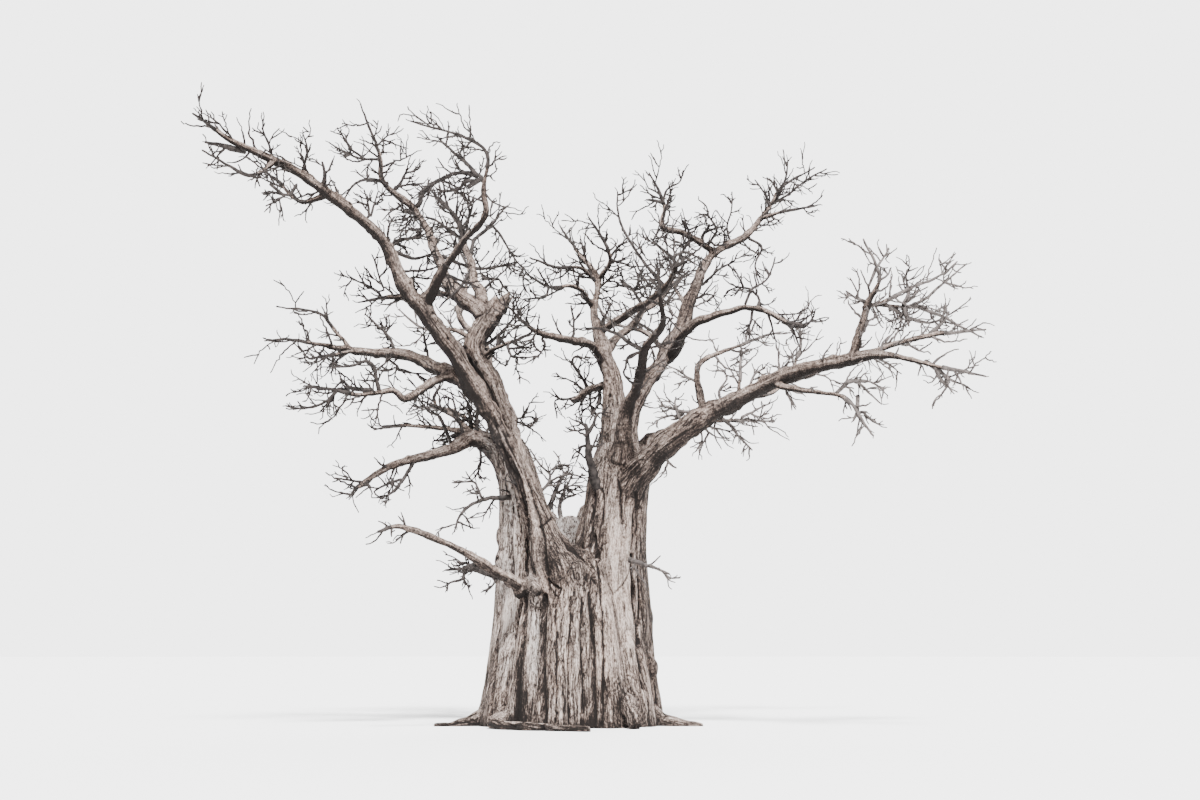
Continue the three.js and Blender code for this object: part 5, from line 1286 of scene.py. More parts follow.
def makeBoughs(groupName, group):
    tubes = []
    replaced = []
    for name in group["limbs"]:
        limb, line = limbs[name], limbLines[name]
        start = alongAt(line, limb["fused"]) + handOver["boughStart"] if limb.get("fused") else None
        if name in trunkPlan["footLengths"]:
            start = trunkPlan["footLengths"][name] - handOver["footOverlap"]
        end = max(slenderFrom(name), handOver["shortest"])
        part = cutLine(line, start or 0, end)
        girths = tapered(part, start=start)
        if name == "broken_leader":
            part = cutLine(part, 0, alongAt(line, handOver["snappedAt"]))
            swell = smoothStep(part["span"], handOver["snappedFrom"], handOver["snappedTo"])
            girths = girths[:len(part["place"])] * (1 + handOver["snappedSwell"] * swell)
        if start is None:
            tubes.append(limbTube(name, *rooted(name, part["place"], girths)))
        else:
            tubes.append(limbTube(name, part["place"], girths))
        if limb.get("bough"):
            replaced.append(name + "_bough")
    if "broken_leader" in group["limbs"]:
        tubes += brokenTip()
    tubes += [ball(*knob) for knob in group.get("knobs", [])]
    boughs = joinAll(tubes, groupName)
    fuseWood(boughs, group["voxel"], smoothing=2)
    draws = np.random.default_rng(len(groupName) * 13)
    scars = makeScars([limbLines[name] for name in group["limbs"]], draws, scarPlan["perMetre"]["boughs"])
    raiseBark(boughs, scars, group.get("marked", False), group.get("shade", 1.0))
    thinOut(boughs)
    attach(boughs, "root")
    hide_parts(*replaced)
    return boughs


# The snapped end of the broken leader: a few split shards
brokenShards = [
    [(-2.0, 0.06, 11.2, 0.2), (-1.78, 0.08, 11.58, 0.12), (-1.66, 0.1, 11.8, 0.02)],
    [(-2.14, 0.1, 11.25, 0.15), (-2.06, 0.0, 11.5, 0.08), (-2.03, -0.02, 11.62, 0.02)],
    [(-1.95, 0.2, 11.25, 0.16), (-1.74, 0.28, 11.52, 0.09), (-1.6, 0.3, 11.66, 0.02)],
]


def brokenTip():
    lines = [limbLine(shard) for shard in brokenShards]
    return [limbTube("shard", line["place"], line["girth"], 3) for line in lines]


# Twigs: the solids' own rule first, then finer twigs and spurs by the same rule
twigRule = {
    "firstAt": 0.14, "lastAt": 0.97, "turn": 137.5, "turnSway": 50, "opening": (34, 66),
    "length": (0.55, 1.15), "spread": 1.05, "rise": 0.3, "kink": 0.22, "foot": 0.032, "footShare": 0.6,
    "offshootEvery": 3, "offshootShare": 0.5, "offshootAt": 0.55, "clearance": 0.03,
}
finerRule = {
    "firstAt": (0.18, 0.32), "spacing": 0.5, "spacingSway": (0.6, 1.5), "turnSway": 30,
    "length": (0.34, 0.8), "thinning": 0.45, "opening": (26, 54), "foot": 0.027, "tip": 0.017,
    "rise": 0.45, "bend": 0.16, "step": 0.085, "crook": 0.05, "clearance": 0.012,
    "spurSpacing": 0.7, "spurLength": (0.06, 0.22), "spurOpening": (35, 70), "spurFoot": 0.018,
    "spurTip": 0.014, "fanTurn": (100, 180), "fanOpening": (18, 50),
    "stemSpurs": 1.3, "stemSpurOpening": (40, 80), "stemSpurLength": (0.07, 0.2),
    "longSpurShare": 0.3, "longSpurLength": (0.2, 0.5), "longSpurGirth": 0.017,
    "shootFrom": 0.24, "shootSpacing": 0.85, "shootSway": (0.5, 1.5), "shootLength": (0.25, 0.75),
    "shootOpening": (35, 75), "shootReach": 1.2, "shootSwell": 1.15, "branchedFrom": 0.45,
    "twigSwell": 1.2, "leastTwig": 0.022, "twigTip": 0.016, "stemSwell": 0.009, "boxShare": 0.012,
    "handOver": 0.18, "shootStart": (0.1, 0.4), "shootEnd": 0.1, "shootSunk": 0.5, "shootNear": 6,
    "spurSunk": 0.6, "spurGain": 0.4,
    "sparse": {
        "great_right": 0.3, "right_end": 0.4, "hanging_right": 0.3, "right_post": 0.6,
        "right_post_broom": 0.3, "right_broom": 0.3, "long_left": 0.5, "long_left_end": 0.5,
        "upper_left_arm": 0.6, "low_left": 0.3,
        "leader_spray": 0.1, "shoulder_spray": 0.4, "shoulder_shoot": 0.5, "grey_arm": 0.6,
        "right_arm": 0.5, "column_shoot": 0.5, "back_spray": 0.3,
    },
}
takenLengths = []


# A draw between two bounds of the finer rule, and the same for an angle in degrees
def drawn(draws, key):
    return draws.uniform(*finerRule[key])


def drawnAngle(draws, key):
    return math.radians(drawn(draws, key))


def recordLengths(owner, places, girths):
    for start, end, girth in zip(places[:-1], places[1:], girths[:-1]):
        takenLengths.append((start, end - start, girth, owner))


def nearestGap(points, starts, steps, girths):
    return (np.sqrt(fromSteps(points, starts, steps)[1]) - girths).min()


def turnedAbout(vector, axis, angle):
    along = axis * axis.dot(vector) * (1 - math.cos(angle))
    return vector * math.cos(angle) + np.cross(axis, vector) * math.sin(angle) + along


def headingFrom(tangent, turn, opening):
    across = np.cross((0.0, 0.0, 1.0), tangent)
    if np.linalg.norm(across) < 0.1:
        across = np.cross((1.0, 0.0, 0.0), tangent)
    across = turnedAbout(unit(across), tangent, turn)
    return turnedAbout(tangent, across, opening)


crookedRule = {"fadeIn": 4, "settling": 0.7, "zigzag": (0.2, 0.6), "share": 0.35}


# A crooked way from foot to tip through the middle: it swings from side to side as it goes
def crookedPath(foot, middle, tip, draws, crook, step=0.1):
    length = np.linalg.norm(middle - foot) + np.linalg.norm(tip - middle)
    steps = max(3, int(round(length / step)))
    share = np.linspace(0, 1, steps + 1)[:, None]
    bend = 2 * middle - 0.5 * (foot + tip)
    path = (1 - share)**2 * foot + 2 * share * (1 - share) * bend + share**2 * tip
    heading = unit(tip - foot)
    one = unit(np.cross(heading, (0.31, 0.9, 0.3)))
    other = np.cross(heading, one)
    swing = draws.normal(0, 1, (steps + 1, 2)).cumsum(0)
    swing -= np.linspace(0, 1, steps + 1)[:, None] * swing[-1] * crookedRule["settling"]
    zigzag = np.where(np.arange(steps + 1) % 2, 1, -1)[:, None]
    zigzag = zigzag * draws.uniform(*crookedRule["zigzag"], (1, 2))
    amount = crook * np.minimum(1, share * crookedRule["fadeIn"]) * min(1, length)
    swing = (swing * crookedRule["share"] + zigzag * crookedRule["share"]) * amount
    return path + swing[:, :1] * one + swing[:, 1:] * other


def emptyStore():
    return {"verts": [], "faces": [], "grain": [], "count": 0, "triangles": 0}


# A closed tube of a few sides round a path, with a rounded tip
def addTube(store, path, girths, sides):
    path = np.asarray(path)
    heading = unit(np.gradient(path, axis=0))
    reference = np.array([0.31, 0.95, 0.05]) if abs(heading[0][1]) < 0.9 else np.array([0.95, 0.2, 0.1])
    outward = unit(np.cross(reference, heading))
    sideways = np.cross(heading, outward)
    angle = np.arange(sides) * 2 * math.pi / sides
    ring = np.cos(angle)[None, :, None] * outward[:, None] + np.sin(angle)[None, :, None] * sideways[:, None]
    skin = path[:, None] + ring * np.asarray(girths)[:, None, None]
    count = len(path) * sides
    base = store["count"]
    end = path[-1] + heading[-1] * girths[-1] * 1.2
    store["verts"].append(skin.reshape(-1, 3))
    store["verts"].append(end[None])
    along = lengthAlong(path)
    grain = np.repeat(along, sides)[:, None] * (0, 0, 1) + ring.reshape(-1, 3) * 0.03 + path[0]
    store["grain"].append(grain)
    store["grain"].append((path[0] + (0, 0, along[-1]))[None])
    for k in range(len(path) - 1):
        low, high = base + k * sides, base + (k + 1) * sides
        for j in range(sides):
            nextJ = (j + 1) % sides
            store["faces"].append((low + j, low + nextJ, high + nextJ, high + j))
    last = base + (len(path) - 1) * sides
    for j in range(sides):
        store["faces"].append((last + j, last + (j + 1) % sides, base + count))
    store["faces"].append(tuple(base + j for j in reversed(range(sides))))
    store["count"] += count + 1
    store["triangles"] += (len(path) - 1) * sides * 2 + sides + sides - 2


def knobbly(count, draws, amount=0.18):
    return 1 + amount * draws.uniform(-1, 1, count)


def addTwig(store, path, footGirth, tipGirth, draws, sides):
    girths = np.linspace(footGirth, tipGirth, len(path)) * knobbly(len(path), draws)
    addTube(store, path, girths, sides)
    return girths


def clearOfWood(path, thick):
    starts, steps, girths = thick
    near = np.abs(starts - path[0]).max(1) < 3.5
    if not near.any():
        return True
    points = path[[len(path) // 2, -1]]
    return nearestGap(points, starts[near], steps[near], girths[near]) > finerRule["clearance"]


def inReach(tip, stem, reach):
    return np.linalg.norm(stem - tip, axis=1).min() < reach and inBox(tip)


lowest, highest = np.array(solidBox, float)
spare = finerRule["boxShare"] * (highest - lowest)


def inBox(place):
    return bool(((place > lowest - spare) & (place < highest + spare)).all())


# Finer twigs along a twig, each with its spurs, and a few spurs in a fan at every tip
def growFiner(store, path, length, stem, reach, thick, draws):
    along = lengthAlong(path)
    turn = draws.uniform(0, 2 * math.pi)
    at = drawn(draws, "firstAt") * length
    while at < along[-1] - 0.04:
        foot = rowBetween(at, along, path)
        index = min(np.searchsorted(along, at), len(path) - 1)
        heading = unit(path[index] - path[index - 1])
        turn += math.radians(twigRule["turn"] + draws.uniform(-finerRule["turnSway"], finerRule["turnSway"]))
        opening = drawnAngle(draws, "opening")
        way = headingFrom(heading, turn, opening)
        fine = drawn(draws, "length") * (1 - finerRule["thinning"] * at / along[-1])
        fine *= min(1.0, length)
        growTwig(store, foot, way, fine, finerRule["foot"], stem, reach, thick, draws, sides=3)
        at += finerRule["spacing"] * drawn(draws, "spacingSway")
    tipFan(store, path, draws)


def tipFan(store, path, draws):
    heading = unit(path[-1] - path[-2])
    turn = draws.uniform(0, 2 * math.pi)
    for _ in range(draws.integers(0, 2)):
        turn += drawnAngle(draws, "fanTurn")
        way = headingFrom(heading, turn, drawnAngle(draws, "fanOpening"))
        addSpur(store, path[-1], way, drawn(draws, "spurLength"), draws)


def addSpur(store, foot, way, length, draws):
    side = unit(np.cross(way, draws.normal(0, 1, 3))) * length * draws.uniform(0.05, 0.2)
    path = np.array([foot, foot + way * length * 0.5 + side, foot + way * length])
    if inBox(path[-1]):
        addTube(store, path, [finerRule["spurFoot"], finerRule["spurFoot"] * 0.9, finerRule["spurTip"]], 3)


def growTwig(store, foot, way, length, girth, stem, reach, thick, draws, sides):
    lifted = unit(way + np.array([0, 0, finerRule["rise"] * draws.random()]))
    side = unit(np.cross(way, draws.normal(0, 1, 3))) * length * finerRule["bend"] * draws.random()
    middle = foot + way * length * 0.5 + side
    tip = middle + lifted * length * 0.5 - side * 0.4
    if not inReach(tip, stem, reach):
        return None
    path = crookedPath(foot, middle, tip, draws, finerRule["crook"], finerRule["step"])
    if not clearOfWood(path, thick):
        return None
    addTwig(store, path, girth, finerRule["tip"], draws, sides)
    turn = draws.uniform(0, 2 * math.pi)
    for k in range(1, len(path) - 1):
        if draws.random() > finerRule["step"] / finerRule["spurSpacing"]:
            continue
        turn += math.radians(twigRule["turn"])
        heading = unit(path[k] - path[k - 1])
        way = headingFrom(heading, turn, drawnAngle(draws, "spurOpening"))
        addSpur(store, path[k], way, drawn(draws, "spurLength"), draws)
    tipFan(store, path, draws)
    return path


def twigFits(points, owner, stemSamples, reach, lengths):
    if not inReach(points[-1], stemSamples, reach * twigRule["spread"]):
        return False
    starts, steps, girths, owners = lengths
    samples = []
    for k in range(11):
        share = k / 10 * (len(points) - 1)
        index = min(int(share), len(points) - 2)
        samples.append(points[index] + (points[index + 1] - points[index]) * (share - index))
    others = owners != owner
    gap = nearestGap(np.array(samples), starts[others], steps[others], girths[others])
    return gap > twigRule["foot"] + twigRule["clearance"]


ownerNumbers = {}


def numberOf(owner):
    return ownerNumbers.setdefault(owner, len(ownerNumbers))


# Starts, steps, girths and owners of all the lengths that are taken
def currentLengths():
    return tuple(np.array(column) for column in zip(*takenLengths))


# First twigs of one stem: the solids' rule, draw for draw
def firstTwigs(host, name):
    limb, line = limbs[name], limbLines[name]
    start, spans = limb.get("bough", 0), line["span"][-1]
    owner = numberOf(host)
    draw = seeded(limb["seed"])
    reach = limb["reach"]
    stem = np.array([pointAt(line, start + (spans - start) * k / 12) for k in range(13)])
    found = []
    for k in range(limb["twigs"]):
        share = between((twigRule["firstAt"], twigRule["lastAt"]), (k + 0.6 * draw()) / limb["twigs"])
        span = start + (spans - start) * share
        turn = math.radians(twigRule["turn"] * k + twigRule["turnSway"] * (draw() - 0.5))
        opening = math.radians(between(twigRule["opening"], draw()))
        length = between(twigRule["length"], draw()) * reach
        heading = headingFrom(headingAt(line, span), turn, opening)
        foot = pointAt(line, span)
        girth = min(twigRule["foot"], twigRule["footShare"] * girthAt(line, span))
        sideways = unit(np.cross(np.array([draw() - 0.5, draw() - 0.5, draw() - 0.5]), heading))
        kink = twigRule["kink"] * length * draw()
        lifted = unit(heading + np.array([0, 0, twigRule["rise"] * draw()]))
        middle = foot + heading * length * 0.5 + sideways * kink
        tip = middle + lifted * length * 0.5 - sideways * kink * 0.4
        offshootTurn = draw() * 2 * math.pi
        if not twigFits([foot, middle, tip], owner, stem, reach, currentLengths()):
            continue
        recordLengths(owner, np.array([foot, middle, tip]), [girth, girth * 0.75])
        found.append((foot, middle, tip, girth, length))
        if k % twigRule["offshootEvery"]:
            continue
        offFoot = middle + (tip - middle) * (twigRule["offshootAt"] - 0.5)
        way = headingFrom(unit(tip - middle), offshootTurn, opening)
        offTip = offFoot + way * length * twigRule["offshootShare"]
        if twigFits([offFoot, offTip], owner, stem, reach, currentLengths()):
            found.append((offFoot, 0.5 * (offFoot + offTip), offTip, girth * 0.7, length * 0.5))
    return found, stem


stemRule = {"slimming": 0.98, "sway": 0.016, "swayShare": 0.4, "knobs": 0.13, "thick": 0.05,
            "thickSides": 8, "thinSides": 6, "twigSides": 5}


# One mass: the slender ends of its stems, its first twigs, and all the finer ones
def growMass(store, host, thick):
    names = [name for name in limbs if name == host or limbs[name].get("of") == host]
    for name in names:
        limb, line = limbs[name], limbLines[name]
        draws = np.random.default_rng(limb["seed"])
        start = max(0.0, slenderFrom(name) - finerRule["handOver"]) if name in groupedLimbs else 0.0
        slender = cutLine(line, start, 99)
        path = slender["place"]
        girths = slender["girth"] * stemRule["slimming"] + finerRule["stemSwell"]
        sway = draws.normal(0, stemRule["sway"], path.shape).cumsum(0) * stemRule["swayShare"]
        sway -= np.linspace(0, 1, len(path))[:, None] * sway[-1]
        path, girths = path + sway, girths * knobbly(len(path), draws, stemRule["knobs"])
        if not start:
            path, girths = rooted(name, path, girths)
        addTube(store, path, girths, stemRule["thickSides" if girths[0] > stemRule["thick"] else "thinSides"])
        tipFan(store, path, draws)
        found, stem = firstTwigs(host, name)
        reach = limb["reach"] * twigRule["spread"]
        for foot, middle, tip, girth, length in found:
            twig = crookedPath(foot, middle, tip, draws, finerRule["crook"])
            swollen = max(girth * finerRule["twigSwell"], finerRule["leastTwig"])
            addTwig(store, twig, swollen, finerRule["twigTip"], draws, stemRule["twigSides"])
            if draws.random() < finerRule["sparse"].get(name, 1):
                growFiner(store, twig, length, stem, reach, thick, draws)
        growStemSpurs(store, name, stem, reach, thick, draws)
        growShoots(store, name, thick, draws)


# More twigs of the second size, on the stem and on the slender part of its bough
def growShoots(store, name, thick, draws):
    line = limbLines[name]
    reach = finerRule["shootReach"]
    slenderParts = np.flatnonzero(line["girth"] < finerRule["shootFrom"])
    at = line["along"][slenderParts[0]] + drawn(draws, "shootStart")
    while at < line["along"][-1] - finerRule["shootEnd"]:
        index = min(int(np.searchsorted(line["along"], at)), len(line["place"]) - 2)
        opening = drawnAngle(draws, "shootOpening")
        way = headingFrom(line["heading"][index], draws.uniform(0, 6.28), opening)
        foot = line["place"][index] + way * line["girth"][index] * finerRule["shootSunk"]
        length = drawn(draws, "shootLength")
        near = line["place"][max(0, index - finerRule["shootNear"]):index + finerRule["shootNear"] + 1]
        girth = finerRule["foot"] * finerRule["shootSwell"]
        path = growTwig(store, foot, way, length, girth, near, reach, thick, draws, sides=4)
        if path is not None and length > finerRule["branchedFrom"]:
            growFiner(store, path, length, near, reach, thick, draws)
        pace = finerRule["shootSpacing"] * drawn(draws, "shootSway")
        at += pace / finerRule["sparse"].get(name, 1)


# Short shoots that stand straight on a stem, and a longer one here and there
def growStemSpurs(store, name, stem, reach, thick, draws):
    limb, line = limbs[name], limbLines[name]
    start, end = alongAt(line, limb.get("bough", 0)), line["along"][-1]
    for _ in range(int((end - start) * finerRule["stemSpurs"])):
        index = int(np.searchsorted(line["along"], draws.uniform(start, end)))
        index = min(index, len(line["place"]) - 2)
        turn, opening = draws.uniform(0, 6.28), drawnAngle(draws, "stemSpurOpening")
        way = headingFrom(line["heading"][index], turn, opening)
        foot = line["place"][index] + way * line["girth"][index] * finerRule["spurSunk"]
        if draws.random() < finerRule["longSpurShare"]:
            length, girth = drawn(draws, "longSpurLength"), finerRule["longSpurGirth"]
            growTwig(store, foot, way, length, girth, stem, reach, thick, draws, sides=3)
        else:
            length = drawn(draws, "stemSpurLength") + line["girth"][index] * finerRule["spurGain"]
            addSpur(store, foot, way, length, draws)


def storeMesh(store, name):
    verts = np.concatenate(store["verts"])
    mesh = bpy.data.meshes.new(name)
    mesh.from_pydata(verts, [], store["faces"])
    mesh.update()
    storeAttribute(mesh, "grain", "FLOAT_VECTOR", np.concatenate(store["grain"]))
    obj = bpy.data.objects.new(name, mesh)
    bpy.context.scene.collection.objects.link(obj)
    select(obj)
    bpy.ops.object.shade_smooth()
    return obj


sprayGroups = {
    "long_left_sprays": {
        "tone": 0,
        "masses": ["long_left", "upper_left_arm", "middle_left_arm", "left_spur"],
    },
    "high_left_sprays": {"tone": 1, "masses": ["high_left", "crossing", "inner_left", "leader_spray"]},
    "low_left_sprays": {
        "tone": 1,
        "masses": ["grey_arm", "shoulder_spray", "low_left", "low_left_side", "column_spray"],
    },
    "centre_sprays": {
        "tone": 0,
        "masses": ["centre", "centre_low", "left_centre_arm", "front_leader", "stubby_arm", "column_shoot"],
    },
    "right_crown_sprays": {"tone": 1, "masses": ["cross_arm", "pale_arm", "right_leader", "right_arm"]},
    "great_right_sprays": {
        "tone": 2,
        "masses": ["great_right", "right_post", "right_end", "hanging_right", "upright_right",
                   "low_right_spray", "right_shoot"],
    },
    "back_sprays": {
        "tone": 2,
        "masses": ["back_right", "back_left", "back_left_low", "back_centre", "back_spray"],
    },
}

# Finishes: bark that follows the limbs, pale on top and darker beneath by painted shade
def newFinish(name):
    finish = bpy.data.materials.new(name)
    finish.use_nodes = True
    tree = finish.node_tree
    return finish, tree, tree.nodes["Principled BSDF"]


def giveFinish(obj, finish):
    obj.data.materials.clear()
    obj.data.materials.append(finish)


def addNode(tree, kind, inputs=None, **settings):
    node = tree.nodes.new(kind)
    for key, value in settings.items():
        setattr(node, key, value)
    feed(tree, node, inputs or {})
    return node


# Gives a node's inputs their values, or links them to the outputs of other nodes
def feed(tree, node, inputs):
    for key, value in inputs.items():
        if isinstance(value, bpy.types.NodeSocket):
            tree.links.new(value, node.inputs[key])
        else:
            node.inputs[key].default_value = value


def readAttribute(tree, name, output="Fac"):
    return addNode(tree, "ShaderNodeAttribute", attribute_name=name).outputs[output]


def scaledNoise(tree, vector, scale, detail, roughness=0.6, distortion=0.0):
    mapping = addNode(tree, "ShaderNodeMapping", {"Scale": scale, "Vector": vector})
    return addNode(tree, "ShaderNodeTexNoise", {
        "Scale": 1.0, "Detail": detail, "Roughness": roughness, "Distortion": distortion,
        "Vector": mapping.outputs["Vector"],
    }).outputs["Fac"]


def colourRamp(tree, factor, stops):
    ramp = addNode(tree, "ShaderNodeValToRGB", {"Fac": factor})
    elements = ramp.color_ramp.elements
    while len(elements) < len(stops):
        elements.new(0.5)
    for element, (position, colour) in zip(elements, stops):
        element.position = position
        element.color = (*colour, 1)
    return ramp.outputs["Color"]


def mixColours(tree, factor, first, second, blend="MIX"):
    first, second = [(*colour, 1) if isinstance(colour, tuple) else colour for colour in (first, second)]
    inputs = {0: factor, 6: first, 7: second}
    return addNode(tree, "ShaderNodeMix", inputs, data_type="RGBA", blend_type=blend).outputs[2]


def calculate(tree, operation, *values, clamp=False):
    inputs = dict(enumerate(values))
    return addNode(tree, "ShaderNodeMath", inputs, operation=operation, use_clamp=clamp).outputs[0]


# Bark: streaks and cracks along the grain, over a tone that holds the painted shade that the shape gives
barkPlan = {
    "ramp": [
        (0.04, (0.01, 0.0072, 0.0062)), (0.22, (0.036, 0.0262, 0.0222)), (0.4, (0.094, 0.0705, 0.0595)),
        (0.56, (0.182, 0.14, 0.119)), (0.73, (0.305, 0.242, 0.208)), (0.93, (0.5, 0.425, 0.38)),
    ],
    "grey": (0.58, 0.6, 0.62), "brown": (0.68, 0.54, 0.47),
    "streaks": {"scale": (5.6, 5.6, 0.42), "detail": 8, "share": 1.15},
    "fibres": {"scale": (25, 25, 2.2), "detail": 6, "share": 1.5},
    "mottle": {"scale": (9, 9, 7), "detail": 6, "share": 0.55},
    "speckle": {"scale": (28, 28, 18), "detail": 5, "share": 1.3},
    "blotches": {"scale": (1.1, 1.1, 0.4), "detail": 4, "share": 0.5},
    "wrinkles": {"scale": (3.5, 3.5, 15), "detail": 5, "share": 0.6},
    "cracks": [
        {"scale": (3.6, 3.6, 0.3), "width": 0.014, "share": 0.36},
        {"scale": (9.5, 9.5, 0.8), "width": 0.02, "share": 0.32},
        {"scale": (23, 23, 2.6), "width": 0.03, "share": 0.32},
    ],
    "pits": {"scale": (15, 15, 7), "from": 0.36, "to": 0.27, "share": 0.3},
    "calmYoung": 0.5, "middle": 0.71, "shine": 0.2, "bump": 0.95, "bumpDistance": 0.035,
}


def addBump(tree, shader, height, strength, distance):
    bump = addNode(tree, "ShaderNodeBump", {"Strength": strength, "Distance": distance, "Height": height})
    feed(tree, shader, {"Normal": bump.outputs["Normal"]})


def weighed(tree, noise, share):
    centred = calculate(tree, "SUBTRACT", noise, 0.5)
    return calculate(tree, "MULTIPLY", centred, share)


# A thin line wherever the noise passes its middle
def crackLines(tree, grain, crack):
    noise = scaledNoise(tree, grain, crack["scale"], 3, 0.55, 0.5)
    width = crack["width"]
    lines = colourRamp(tree, noise, [
        (0.5 - 2 * width, (0, 0, 0)), (0.5 - 0.5 * width, (1, 1, 1)),
        (0.5 + 0.5 * width, (1, 1, 1)), (0.5 + 2 * width, (0, 0, 0)),
    ])
    return calculate(tree, "MULTIPLY", lines, crack["share"])


def barkFinish(name, plan):
    finish, tree, shader = newFinish(name)
    grain = readAttribute(tree, "grain", "Vector")
    place = addNode(tree, "ShaderNodeTexCoord").outputs["Object"]
    young = readAttribute(tree, "young")
    layers = {}
    sources = {
        "streaks": grain, "fibres": grain, "wrinkles": grain,
        "mottle": place, "speckle": place, "blotches": place,
    }
    for key, source in sources.items():
        layer = plan[key]
        noise = scaledNoise(tree, source, layer["scale"], layer["detail"], 0.64, 0.25)
        layers[key] = weighed(tree, noise, layer["share"])
    layers["wrinkles"] = calculate(tree, "MULTIPLY", layers["wrinkles"], young)
    cracks = [crackLines(tree, grain, crack) for crack in plan["cracks"]]
    woven = calculate(tree, "ADD", layers["streaks"], layers["fibres"])
    for crack in cracks:
        woven = calculate(tree, "SUBTRACT", woven, crack)
    calm = calculate(tree, "MULTIPLY", young, plan["calmYoung"])
    calm = calculate(tree, "ADD", calm, readAttribute(tree, "calm"))
    woven = calculate(tree, "MULTIPLY", woven, calculate(tree, "SUBTRACT", 1.0, calm))
    pits = plan["pits"]
    pitNoise = scaledNoise(tree, grain, pits["scale"], 3, 0.5)
    pitShade = colourRamp(tree, pitNoise, [(pits["to"], (1, 1, 1)), (pits["from"], (0, 0, 0))])
    woven = calculate(tree, "SUBTRACT", woven, calculate(tree, "MULTIPLY", pitShade, pits["share"]))
    for key in ("wrinkles", "mottle", "speckle"):
        woven = calculate(tree, "ADD", woven, layers[key])
    # The tone attribute brings in the painted shade of undersides, hollows and creases and the painted light
    # and shade of the front's patches, besides the bark's own tone
    value = calculate(tree, "ADD", woven, readAttribute(tree, "tone"))
    value = calculate(tree, "ADD", value, layers["blotches"])
    value = calculate(tree, "ADD", value, plan["middle"], clamp=True)
    colour = colourRamp(tree, value, plan["ramp"])
    tintNoise = scaledNoise(tree, place, (1.7, 1.7, 0.8), 3)
    tint = colourRamp(tree, tintNoise, [(0.38, plan["brown"]), (0.6, plan["grey"])])
    colour = mixColours(tree, 0.25, colour, mixColours(tree, 1.0, colour, tint, "MULTIPLY"))
    cool = mixColours(tree, 1.0, colour, (0.93, 1.0, 1.05), "MULTIPLY")
    colour = mixColours(tree, readAttribute(tree, "cool"), colour, cool)
    roughness = colourRamp(tree, value, [(0.2, (0.97, 0.97, 0.97)), (0.8, (0.76, 0.76, 0.76))])
    feed(tree, shader, {"Base Color": colour, "Roughness": roughness, "Specular IOR Level": plan["shine"]})
    addBump(tree, shader, woven, plan["bump"], plan["bumpDistance"])
    return finish


# Twigs: plain dark bark in patches, by spray
twigPlan = {
    "patchScale": (7, 7, 7), "fineScale": (60, 60, 34), "speckle": (0.4, 0.38, 0.37), "speckleShare": 0.4,
    "roughness": 0.85, "shine": 0.2, "bump": 0.5, "bumpDistance": 0.006,
}
twigTones = [
    {"name": "dark_twig_bark", "low": (0.008, 0.0066, 0.0062), "high": (0.045, 0.037, 0.034)},
    {"name": "brown_twig_bark", "low": (0.01, 0.0083, 0.0077), "high": (0.055, 0.046, 0.043)},
    {"name": "grey_twig_bark", "low": (0.034, 0.029, 0.027), "high": (0.14, 0.121, 0.114)},
]


def twigFinish(tone):
    finish, tree, shader = newFinish(tone["name"])
    place = addNode(tree, "ShaderNodeTexCoord").outputs["Object"]
    patches = scaledNoise(tree, place, twigPlan["patchScale"], 4, 0.6)
    fine = scaledNoise(tree, place, twigPlan["fineScale"], 3, 0.6)
    colour = colourRamp(tree, patches, [(0.34, tone["low"]), (0.66, tone["high"])])
    speckle = colourRamp(tree, fine, [(0.3, twigPlan["speckle"]), (0.6, (1, 1, 1))])
    colour = mixColours(tree, twigPlan["speckleShare"], colour, speckle, "MULTIPLY")
    roughness, shine = twigPlan["roughness"], twigPlan["shine"]
    feed(tree, shader, {"Base Color": colour, "Roughness": roughness, "Specular IOR Level": shine})
    addBump(tree, shader, fine, twigPlan["bump"], twigPlan["bumpDistance"])
    return finish


view = {"place": (0.82, -45.0, 2.0), "tiltUp": 8.49, "lens": 50.0, "sensor": 36.0}
studio = {
    "floorRadius": 400, "floorColour": (0.95, 0.95, 0.95), "floorRoughness": 0.9,
    "air": (1.0, 1.0, 1.0), "airStrength": 0.8, "backdropStrength": 4.2,
    "suns": [
        {"from": (4, -28, 42), "size": 11, "strength": 14.2},
        {"from": (30, -26, 20), "size": 40, "strength": 0.8},
        {"from": (4, 34, 30), "size": 30, "strength": 2.2},
    ],
}


def addCamera():
    deselectAll()
    bpy.ops.object.camera_add(location=view["place"], rotation=(math.radians(90 + view["tiltUp"]), 0, 0))
    camera = bpy.context.object
    camera.data.lens = view["lens"]
    camera.data.sensor_width = view["sensor"]
    camera.data.clip_end = 600
    bpy.context.scene.camera = camera


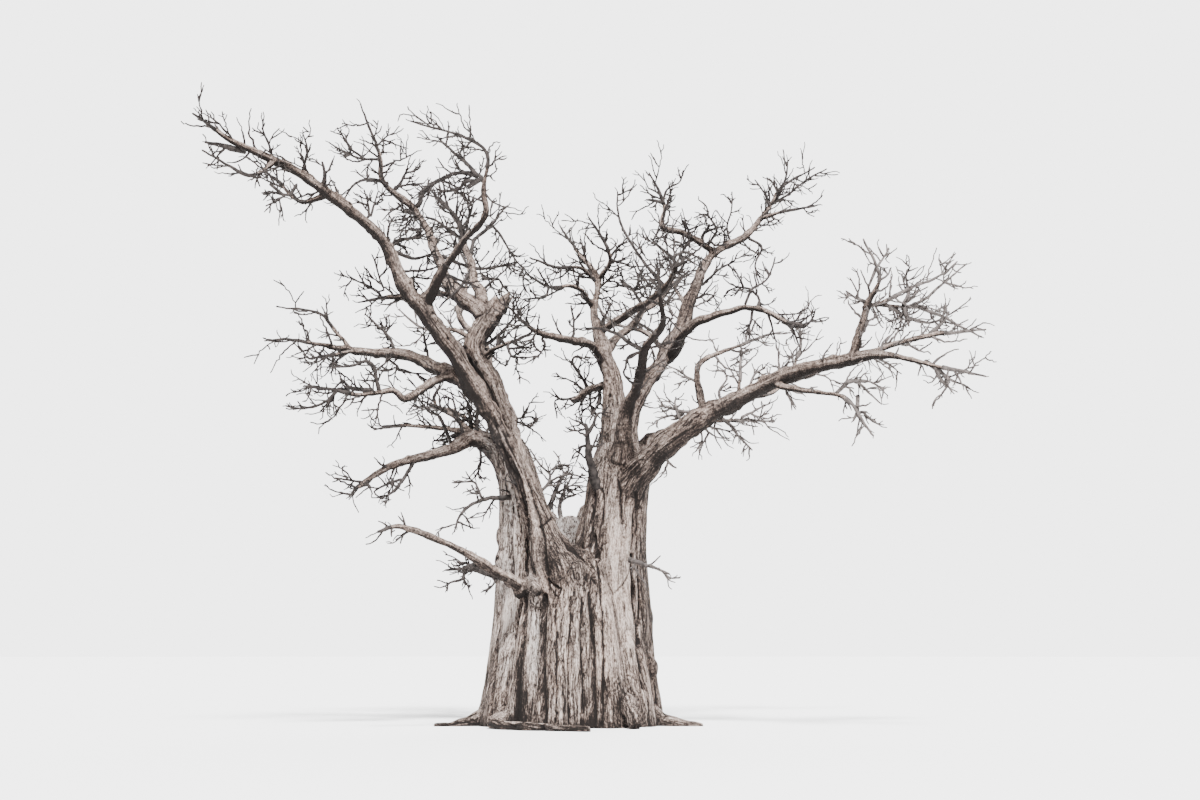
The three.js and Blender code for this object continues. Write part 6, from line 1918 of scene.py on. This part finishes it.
def addStudio():
    deselectAll()
    bpy.ops.mesh.primitive_circle_add(vertices=128, radius=studio["floorRadius"], fill_type="NGON")
    floor = bpy.context.object
    floor.name = "floor"
    finish, tree, shader = newFinish("pale_floor")
    colour = (*studio["floorColour"], 1)
    feed(tree, shader, {"Base Color": colour, "Roughness": studio["floorRoughness"]})
    giveFinish(floor, finish)
    world = bpy.data.worlds.new("soft_air")
    world.use_nodes = True
    tree = world.node_tree
    air = tree.nodes["Background"]
    colour = (*studio["air"], 1)
    feed(tree, air, {"Color": colour, "Strength": studio["airStrength"]})
    strength = studio["backdropStrength"]
    backdrop = addNode(tree, "ShaderNodeBackground", {"Color": colour, "Strength": strength})
    direct = addNode(tree, "ShaderNodeLightPath").outputs["Is Camera Ray"]
    inputs = {0: direct, 1: air.outputs[0], 2: backdrop.outputs[0]}
    seen = addNode(tree, "ShaderNodeMixShader", inputs)
    feed(tree, tree.nodes["World Output"], {"Surface": seen.outputs[0]})
    bpy.context.scene.world = world
    for sun in studio["suns"]:
        deselectAll()
        away = np.array(sun["from"], float)
        tilt = math.acos(away[2] / np.linalg.norm(away))
        turn = math.atan2(away[1], away[0]) + math.pi / 2
        bpy.ops.object.light_add(type="SUN", location=sun["from"], rotation=(tilt, 0, turn))
        light = bpy.context.object
        light.data.angle = math.radians(sun["size"])
        light.data.energy = sun["strength"]


addCamera()
addStudio()
print("studio set")

trunkFinish = barkFinish("trunk_bark_finish", barkPlan)
boughFinish = barkFinish("bough_bark_finish", barkPlan)
twigFinishes = [twigFinish(tone) for tone in twigTones]

trunk = makeTrunk()
giveFinish(trunk, trunkFinish)
print("trunk made,", len(trunk.data.polygons), "faces")

for groupName, group in boughGroups.items():
    boughs = makeBoughs(groupName, group)
    giveFinish(boughs, boughFinish)
    print(groupName, "made,", len(boughs.data.polygons), "faces")

# What the twigs keep clear of: the centre lines of the columns and of all the limbs
for name, line in columnLines.items():
    recordLengths(numberOf("column_" + name), line["place"][::3], line["girth"][::3])
for name, line in limbLines.items():
    bough = line["span"] <= limbs[name].get("bough", 0)
    recordLengths(numberOf(name + "_bough"), line["place"][bough][::3], line["girth"][bough][::3])
    if limbs[name].get("reach"):
        host = limbs[name].get("of", name)
        recordLengths(numberOf(host), line["place"][~bough][::3], line["girth"][~bough][::3])
starts, steps, girths, _ = currentLengths()
thickOnes = girths > stemRule["thick"]
thick = (starts[thickOnes], steps[thickOnes], girths[thickOnes])

for groupName, group in sprayGroups.items():
    store = emptyStore()
    for host in group["masses"]:
        growMass(store, host, thick)
    sprays = storeMesh(store, groupName)
    giveFinish(sprays, twigFinishes[group["tone"]])
    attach(sprays, "root")
    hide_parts(*[host + "_twigs" for host in group["masses"]])
    print(groupName, "made,", store["triangles"], "triangles")

deselectAll()
